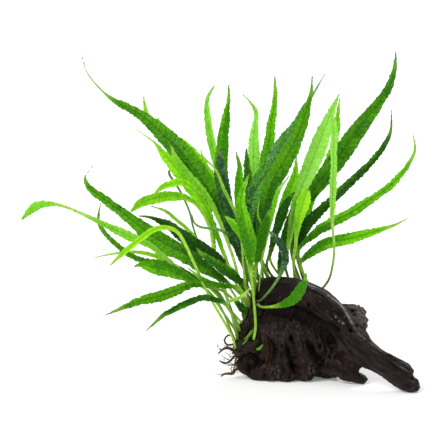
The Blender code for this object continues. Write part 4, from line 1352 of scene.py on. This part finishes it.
        # Smooth crown, rough lower half, rough broken stub, and the mossy side near the stem.
        crown = fade(place[:, 2], 52, 10) * fade(place[:, 0], 34, -10)
        lower = fade(place[:, 2], 48, -14) * fade(place[:, 0], 52, -10)
        stub = fade(place[:, 0], 46, 6) * fade(place[:, 1], -1, 3)
        moss = fade(place[:, 0], -20, -8) * fade(place[:, 2], 46, -6) * fade(place[:, 2], 5, 4)
        gnarl = 1.0 - 0.68 * crown + 0.35 * stub
        for i in range(count):
            x, y, z = place[i]
            a, b, c = coords[i]
            broad = noise.noise((x / 17, y / 17, z / 17)) * 1.6
            fibre = noise.noise((a / 15, b / 1.9, c / 1.9))
            ridge = ridged((a / 26, b / 4.6, c / 4.6))
            crumb = noise.fractal((x / 3.0, y / 3.0, z / 3.0), 0.8, 2.1, 3)
            out = gnarl[i] * (broad + 0.62 * fibre + 0.85 * (ridge - 0.5)) + 0.34 * gnarl[i] * crumb
            rough = max(lower[i], stub[i])
            if rough > 0:
                knobs, pit = self.knotted(x, y, z)
                out += rough * (1.9 * (knobs - 0.45) - 2.2 * pit)
                # Pits get painted hollow shade.
                hollow[i] = max(hollow[i], 0.8 * pit * rough)
            move[i] += out * (1 - 0.7 * wet[i])
            proud[i] = out
            # Dips in the crumbly surface get painted hollow shade.
            if crumb < -0.25:
                hollow[i] = max(hollow[i], min(0.5, -0.25 - crumb))
        # Nothing swells into the floor.
        room = np.where(move > 0, np.clip(place[:, 2] / 3.0, 0.15, 1), 1.0)
        pushed = place + normals * (move * room)[:, None]
        pushed[:, 2] = np.maximum(pushed[:, 2], 0.0)
        mesh.vertices.foreach_set("co", (pushed * MM).ravel())
        for name, values in (("grain", coords), ("hollow", hollow), ("proud", proud), ("wet", wet),
                             ("dry", stub), ("lower", lower), ("fuzz", moss)):
            store(mesh, name, values)
        mesh.shade_smooth()
        mesh.update()

    def build(self) -> bpy.types.Object:
        """Fuse, carve and dress the wood.

        Returns:
            The finished wood.
        """
        obj = self.fused()
        self.carve(obj)
        obj.data.materials.clear()
        obj.data.materials.append(self.material)
        return attach(obj, "driftwood", *self.names)


def ground(mesh: bpy.types.Mesh, material: bpy.types.Material) -> None:
    """Give a mesh its finish and let hairs grow all over it.

    Args:
        mesh: the mesh.
        material: its finish.
    """
    store(mesh, "fuzz", np.ones(len(mesh.vertices)))
    mesh.materials.clear()
    mesh.materials.append(material)
    mesh.shade_smooth()


@dataclass
class Undergrowth:
    """Creeping stem, its branch, the thick roots, and the fuzz and rootlets that grow on them."""

    nodes: Dict[str, bpy.types.Object]
    bark: bpy.types.Material
    root: bpy.types.Material
    moss: bpy.types.Material
    stem_names: Tuple[str, ...] = ("rhizome", "rhizome_branch")
    root_names: Tuple[str, ...] = ("root_curl", "root_fork", "root_low", "root_side")

    def rough_skin(self, name: str, voxel: float, swing: float, scale: float,
                   material: bpy.types.Material, slot: str) -> bpy.types.Object:
        """Fine lumpy skin over one frame solid.

        Args:
            name: the solid's name.
            voxel: size of the skin's faces.
            swing: how far lumps move it.
            scale: size of the lumps.
            material: its finish.
            slot: the record's slot.
        Returns:
            The new piece.
        """
        obj = put_bmesh(name + "_skin", merged_copy(self.nodes[name]))
        reskin(obj, voxel, 4)
        baked(obj)
        for vert in obj.data.vertices:
            lump = noise.fractal(vert.co / scale, 0.8, 2.0, 3) + 0.25
            vert.co += vert.normal * swing * lump
        ground(obj.data, material)
        return attach(obj, slot, name)

    @staticmethod
    def sprig(name: str, length: float, radius: float, bend: float, sides: int = 3,
              rings: int = 5) -> bpy.types.Object:
        """Small curved hair standing on the origin along +Z.

        Args:
            name: the object's name.
            length: the hair's length.
            radius: its radius at the foot.
            bend: how far its tip leans, as a share of the length.
            sides: faces round it.
            rings: stations along it.
        Returns:
            The hair, used only as the shape to repeat.
        """
        bm = bmesh.new()
        before: List[bmesh.types.BMVert] = []
        for i in range(rings):
            t = i / rings
            lean = bend * length * t * t
            sway = 0.12 * length * math.sin(t * 5.0)
            now = [bm.verts.new((lean + radius * (1 - t) * math.cos(2 * math.pi * k / sides),
                                 sway + radius * (1 - t) * math.sin(2 * math.pi * k / sides),
                                 length * t)) for k in range(sides)]
            for k in range(sides if before else 0):
                j = (k + 1) % sides
                bm.faces.new((before[k], before[j], now[j], now[k]))
            if not before:
                bm.faces.new(list(reversed(now)))
            before = now
        tip = bm.verts.new((bend * length, 0.12 * length * math.sin(5.0), length))
        for k in range(sides):
            bm.faces.new((before[k], before[(k + 1) % sides], tip))
        made = put_bmesh(name, bm)
        made.hide_render = True
        return made

    @staticmethod
    def grow(name: str, base: bpy.types.Object, tree: bpy.types.NodeTree, sprig: bpy.types.Object,
             density: float, sizes: Tuple[float, float], tilt: float, seed: int,
             material: bpy.types.Material, slot: str) -> Optional[bpy.types.Object]:
        """Grow hairs over a piece and keep them as one joined piece.

        Args:
            name: the new piece's name.
            base: the piece they grow on.
            tree: the fuzz tree.
            sprig: the shape to repeat.
            density: hairs a square metre.
            sizes: smallest and largest scale.
            tilt: lean in radians.
            seed: fixed seed.
            material: their finish.
            slot: the record's slot.
        Returns:
            The new piece, or None when nothing grew.
        """
        obj = put(name, base.data.copy())
        grown(obj, tree, {"Sprig": sprig, "Density": density, "Smallest": sizes[0], "Largest": sizes[1],
                          "Tilt": tilt, "Seed": seed, "Material": material})
        if not obj.data.polygons:
            bpy.data.objects.remove(obj)
            return None
        obj.data.shade_smooth()
        return attach(obj, slot)

    def build(self, wood: bpy.types.Object, mat: bpy.types.Object) -> None:
        """Build stem, roots, fuzz and rootlets on them, on the wood and on the root mat.

        Args:
            wood: the finished driftwood.
            mat: the finished root mat.
        """
        tree = fuzz_tree()
        hair = self.sprig("hair_shape", 1.0 * MM, 0.07 * MM, 0.5)
        rootlet = self.sprig("rootlet_shape", 6.0 * MM, 0.13 * MM, 0.6, 4, 8)
        scale = self.sprig("scale_shape", 1.3 * MM, 0.35 * MM, 0.7, 3, 3)
        for name in self.stem_names:
            skin = self.rough_skin(name, 0.45 * MM, 0.55 * MM, 2.2 * MM, self.bark, "stem")
            self.grow(name + "_scales", skin, tree, scale, 900000.0, (0.6, 1.5), 0.9, 3, self.bark, "stem")
            self.grow(name + "_rootlets", skin, tree, rootlet, 60000.0, (0.35, 1.1), 0.9, 7,
                      self.root, "root")
        for name in self.root_names:
            skin = self.rough_skin(name, 0.26 * MM, 0.16 * MM, 0.9 * MM, self.root, "root")
            self.grow(name + "_hairs", skin, tree, rootlet, 260000.0, (0.2, 0.75), 0.8, 11, self.root, "root")
        self.grow("mat_hairs", mat, tree, rootlet, 300000.0, (0.2, 0.8), 0.9, 13, self.bark, "root")
        self.grow("wood_moss", wood, tree, hair, 1100000.0, (0.6, 2.0), 0.9, 5, self.moss, "stem")
        for shape in (hair, rootlet, scale):
            bpy.data.objects.remove(shape)


def strand_tree() -> bpy.types.NodeTree:
    """Tree that turns lines of edges into closed tubes that follow them.

    Returns:
        The Geometry Nodes tree.
    """
    inputs = (("Sides", "NodeSocketInt", 5), ("Material", "NodeSocketMaterial", None))
    tree, g, given = geometry_tree("strands", inputs)
    line = g.add("GeometryNodeMeshToCurve", None, {"Mesh": given.outputs[0]})
    ring = g.add("GeometryNodeCurvePrimitiveCircle", None,
                 {"Resolution": given.outputs["Sides"], "Radius": 1.0})
    tube = g.add("GeometryNodeCurveToMesh", None, {
        "Curve": line, "Profile Curve": ring, "Scale": g.named("thick"), "Fill Caps": True})
    finish_tree(g, tube, given.outputs["Material"])
    return tree


@dataclass
class Strands:
    """Wiry roots that wander from given starts: one joined piece."""

    name: str
    seed: int
    material: bpy.types.Material
    slot: str
    tree: bpy.types.NodeTree
    lines: List[List[Tuple[Vector, float]]] = field(default_factory=list)

    def __post_init__(self) -> None:
        """Start the piece's own random order."""
        self.random = np.random.default_rng(self.seed)

    def follow(self, points: Sequence[Sequence[float]], thick: float, end: float, steps: int = 16,
               wobble: float = 0.35) -> None:
        """Add a strand along a smooth route.

        Args:
            points: the route in millimetres.
            thick: radius at the start, in millimetres.
            end: radius at the end.
            steps: stations along it.
            wobble: sideways wandering in millimetres.
        """
        fine = smoothed(points, steps)
        drift = np.cumsum(self.random.normal(0, wobble * 0.4, (steps, 3)), axis=0)
        drift -= np.linspace(0, 1, steps)[:, None] * drift[-1] * 0.5
        fine = fine + drift * np.linspace(0, 1, steps)[:, None]
        fine[:, 2] = np.maximum(fine[:, 2], end + 0.2)
        radius = np.linspace(thick, end, steps) * (1 + self.random.uniform(-0.2, 0.25, steps))
        self.lines.append([(Vector(p) * MM, float(r) * MM) for p, r in zip(fine, radius)])

    def wander(self, start: Sequence[float], heading: Sequence[float], length: float, thick: float,
               curl: float = 0.35, forks: int = 1) -> None:
        """Add a strand that wanders off, and its forks.

        Args:
            start: its start in millimetres.
            heading: which way it sets out.
            length: its length in millimetres.
            thick: its radius at the start, in millimetres.
            curl: how much it turns at each step.
            forks: how many times it may split.
        """
        steps = max(6, int(length / 0.9))
        place = np.array(start, dtype=float)
        way = np.array(heading, dtype=float)
        way /= np.linalg.norm(way)
        bend = self.random.normal(0, curl * 0.35, 3)
        line = []
        for i in range(steps):
            line.append((Vector(place) * MM, thick * (1 - 0.8 * i / steps) * MM))
            way = way + bend + self.random.normal(0, curl * 0.45, 3)
            way /= np.linalg.norm(way)
            place = place + way * length / steps
            place[2] = max(place[2], 0.6)
            if forks > 0 and i > 2 and self.random.random() < 0.16:
                aside = way + self.random.normal(0, 0.8, 3)
                self.wander(place, aside, length * 0.5, thick * 0.62, curl, forks - 1)
        self.lines.append(line)

    def build(self) -> bpy.types.Object:
        """Turn all the strands into one piece.

        Returns:
            The finished piece.
        """
        places = [p for line in self.lines for p, _ in line]
        thick = [r for line in self.lines for _, r in line]
        edges = []
        start = 0
        for line in self.lines:
            edges += [(start + i, start + i + 1) for i in range(len(line) - 1)]
            start += len(line)
        mesh = bpy.data.meshes.new(self.name)
        mesh.from_pydata(places, edges, [])
        store(mesh, "thick", thick)
        obj = grown(put(self.name, mesh), self.tree, {"Material": self.material})
        obj.data.shade_smooth()
        outward(obj.data)
        return attach(obj, self.slot)


@dataclass
class RootMass:
    """Dark mat of roots at the foot of the stem, the wiry roots that leave it, and fibres on the wood."""

    mat_material: bpy.types.Material
    root_material: bpy.types.Material
    fibre_material: bpy.types.Material
    wood: bpy.types.Object
    seed: int = 21
    voxel: float = 0.5 * MM
    # Blobs of the mat: centre and radius in millimetres.
    blobs: Tuple[Tuple[float, float, float, float], ...] = (
        (-36, -6, 24, 6.5), (-34, -5, 31, 6.5), (-31, -4, 38, 6.5), (-29, -4, 45, 5.5), (-39, -8, 28, 4.5),
        (-40, -6, 21, 4.8), (-35, -3, 17, 6.0), (-36, -2, 41, 5.0), (-33, 1, 49, 4.8), (-30, -9, 33, 5.0),
        (-42, -3, 24, 3.6), (-28, -12, 27, 5.5), (-38, -3, 34, 4.6), (-26.5, -2, 52, 5.0))

    def mat(self) -> bpy.types.Object:
        """Fuse the blobs and roughen them.

        Returns:
            The mat.
        """
        bm = bmesh.new()
        for x, y, z, radius in self.blobs:
            turn = Matrix.Translation(Vector((x, y, z)) * MM)
            bmesh.ops.create_icosphere(bm, subdivisions=3, radius=radius * MM, matrix=turn)
        obj = put_bmesh("root_mat", bm)
        reskin(obj, self.voxel)
        baked(obj)
        for vert in obj.data.vertices:
            spot = vert.co / MM
            lump = noise.fractal(spot / 5.0, 0.8, 2.0, 3) * 1.9
            thread = ridged((spot.x / 1.5, spot.y / 1.5, spot.z / 4.5))
            vert.co += vert.normal * (lump + 0.9 * thread - 0.8) * MM
        ground(obj.data, self.mat_material)
        return attach(obj, "root")

    def build(self) -> bpy.types.Object:
        """Build the mat, the wiry roots and the fibres.

        Returns:
            The mat, for fuzz to grow on.
        """
        mat = self.mat()
        tree = strand_tree()
        roots = Strands("wiry_roots", self.seed, self.root_material, "root", tree)
        # Each thick root is led back into the mat or the wood.
        for route, thick in ((((-36, -6, 25), (-40, -6, 27.5), (-45, -6, 27)), 0.9),
                             (((-36, -5, 22), (-41, -4, 20.6), (-46, -4, 21.7)), 1.2),
                             (((-33, -10, 11), (-39, -9, 8.5), (-45, -10.2, 6)), 1.4),
                             (((-35, -3, 17), (-40, -2, 17.5), (-45, -2, 15.8)), 1.1),
                             (((-46, -5, 22), (-50, -6, 25), (-51, -6, 28)), 0.5),
                             (((-38, -4, 20), (-43, -4, 14), (-44, -6, 8)), 0.8)):
            roots.follow(route, thick, thick * 0.85, 12, 0.3)
        for start, heading, length, thick in (
                ((-52, -6, 23), (-1, -0.2, -0.5), 11, 0.45), ((-50, -5, 23), (-0.8, -0.3, 0.5), 7, 0.35),
                ((-48, -4, 13), (-0.9, 0, 0.5), 13, 0.45), ((-50, -4, 11), (-1, -0.2, 0.05), 11, 0.4),
                ((-47, -3, 16), (-0.8, -0.1, 0.7), 10, 0.35), ((-46, -12, 5), (-0.6, -0.3, 0.5), 9, 0.45),
                ((-49, -14, 5), (-1, -0.1, -0.15), 13, 0.45), ((-45, -9, 7), (0.1, -0.4, 1), 12, 0.4),
                ((-44, -6, 9), (-0.5, -0.3, 0.9), 10, 0.4), ((-43, -5, 25), (-0.7, -0.5, -0.6), 11, 0.4),
                ((-44, -8, 6), (0.2, -0.5, -0.4), 8, 0.5), ((-41, -9, 12), (-0.8, -0.4, -0.5), 12, 0.5),
                ((-40, -10, 14), (-0.7, -0.5, 0.1), 11, 0.4), ((-50, -7, 27), (-0.7, 0.2, 0.7), 7, 0.3)):
            roots.wander(start, heading, length, thick, 0.34, 2)
        for _ in range(26):
            start = (roots.random.uniform(-43, -36), roots.random.uniform(-12, -2),
                     roots.random.uniform(8, 30))
            heading = (-1, roots.random.uniform(-0.8, 0.4), roots.random.uniform(-0.8, 0.4))
            roots.wander(start, heading, roots.random.uniform(4, 10), 0.26, 0.4, 1)
        roots.build()
        surface = Surface(self.wood.data)
        fibres = Strands("wood_fibres", self.seed + 1, self.fibre_material, "root", tree)
        for _ in range(16):
            x = fibres.random.uniform(-22, -12)
            top = fibres.random.uniform(23, 32)
            low = fibres.random.uniform(10, 18)
            lean = fibres.random.uniform(-4, 2)
            route = [(x + lean * t + fibres.random.normal(0, 0.5), top + (low - top) * t)
                     for t in np.linspace(0, 1, 6)]
            path = surface.sighted(route, proud=0.35)
            if len(path) > 2:
                fibres.follow(path, 0.26, 0.10, 14, 0.25)
        fibres.build()
        return mat


@dataclass
class Studio:
    """Floor, light and camera."""

    middle: Tuple[float, float] = (-56.0 * MM, 124.8 * MM)
    distance: float = 4.0
    seen_width: float = 352.0 * MM
    sensor: float = 36.0
    floor_size: float = 30.0
    floor_white: float = 0.95
    floor_glow: float = 0.16
    room: float = 0.42
    # Name, where the light comes from, strength, and its apparent size in degrees.
    suns: Tuple[Tuple[str, Tuple[float, float, float], float, float], ...] = (
        ("key", (-0.55, -0.62, 0.75), 2.1, 26.0),
        ("back", (0.45, 0.80, 0.70), 1.5, 16.0),
        ("right", (0.85, -0.35, 0.40), 0.7, 30.0))

    def floor(self) -> None:
        """Plain pale floor."""
        bm = bmesh.new()
        bmesh.ops.create_grid(bm, x_segments=1, y_segments=1, size=self.floor_size / 2)
        obj = put_bmesh("floor", bm)
        made, g = new_material("floor")
        g.surface(g.principled((self.floor_white,) * 3, 0.9, 0.1, Emission_Color=(1.0, 1.0, 1.0),
                               Emission_Strength=self.floor_glow))
        obj.data.materials.append(made)

    def lights(self) -> None:
        """Soft key from the upper left, weaker light from behind and the right, in a pale room."""
        world = bpy.data.worlds.new("studio")
        bpy.context.scene.world = world
        world.use_nodes = True
        world.node_tree.nodes["Background"].inputs[0].default_value = (1.0, 1.0, 1.0, 1.0)
        world.node_tree.nodes["Background"].inputs[1].default_value = self.room
        for name, towards, power, softness in self.suns:
            light = bpy.data.lights.new(name, "SUN")
            light.energy = power
            light.angle = math.radians(softness)
            obj = bpy.data.objects.new(name, light)
            bpy.context.scene.collection.objects.link(obj)
            obj.rotation_euler = Vector(towards).to_track_quat("Z", "Y").to_euler()

    def camera(self) -> None:
        """Long lens looking along +Y and a little down."""
        data = bpy.data.cameras.new("camera")
        data.sensor_width = self.sensor
        data.lens = self.sensor * self.distance / self.seen_width
        data.clip_end = 60.0
        obj = bpy.data.objects.new("camera", data)
        bpy.context.scene.collection.objects.link(obj)
        x, seen = self.middle
        target = Vector((x, 0.0, seen / math.cos(SIGHT_TILT)))
        look = Vector((0.0, math.cos(SIGHT_TILT), -math.sin(SIGHT_TILT)))
        obj.location = target - look * self.distance
        obj.rotation_euler = look.to_track_quat("-Z", "Y").to_euler()
        bpy.context.scene.camera = obj

    def build(self) -> None:
        """Set the stage and the picture's tone."""
        self.floor()
        self.lights()
        self.camera()
        view = bpy.context.scene.view_settings
        view.view_transform = "Standard"
        view.look = "None"


def slots_of(record: Dict[str, Any]) -> Dict[str, str]:
    """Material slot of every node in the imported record."""
    return {part["node"]: part["material_slot"] for part in record["subparts"]}


def main() -> None:
    """Build every sub-assembly around the frame."""
    logging.basicConfig(level=logging.INFO, format="%(message)s")
    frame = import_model()
    Studio().build()
    leaves = {finish.kind: finish.material() for finish in LEAF_FINISHES}
    wood = Driftwood(frame["nodes"], WoodFinish().material()).build()
    bark = FibreFinish("stem", (0.006, 0.004, 0.0025), (0.046, 0.028, 0.012), 900.0, 0.8).material()
    root = FibreFinish("root", (0.020, 0.009, 0.005), (0.125, 0.062, 0.026), 500.0, 0.55).material()
    moss = FibreFinish("moss", (0.010, 0.009, 0.004), (0.060, 0.055, 0.012), 300.0, 0.85).material()
    fibre = FibreFinish("fibre", (0.014, 0.006, 0.003), (0.085, 0.034, 0.012), 500.0, 0.6).material()
    mat = RootMass(bark, root, fibre, wood).build()
    Undergrowth(frame["nodes"], bark, root, moss).build(wood, mat)
    Fronds(frame["nodes"], slots_of(frame["record"]), leaves).build()
    Leaflets(leaves).build(bpy.data.node_groups["ruffled_blade"])


if __name__ == "__main__":
    main()
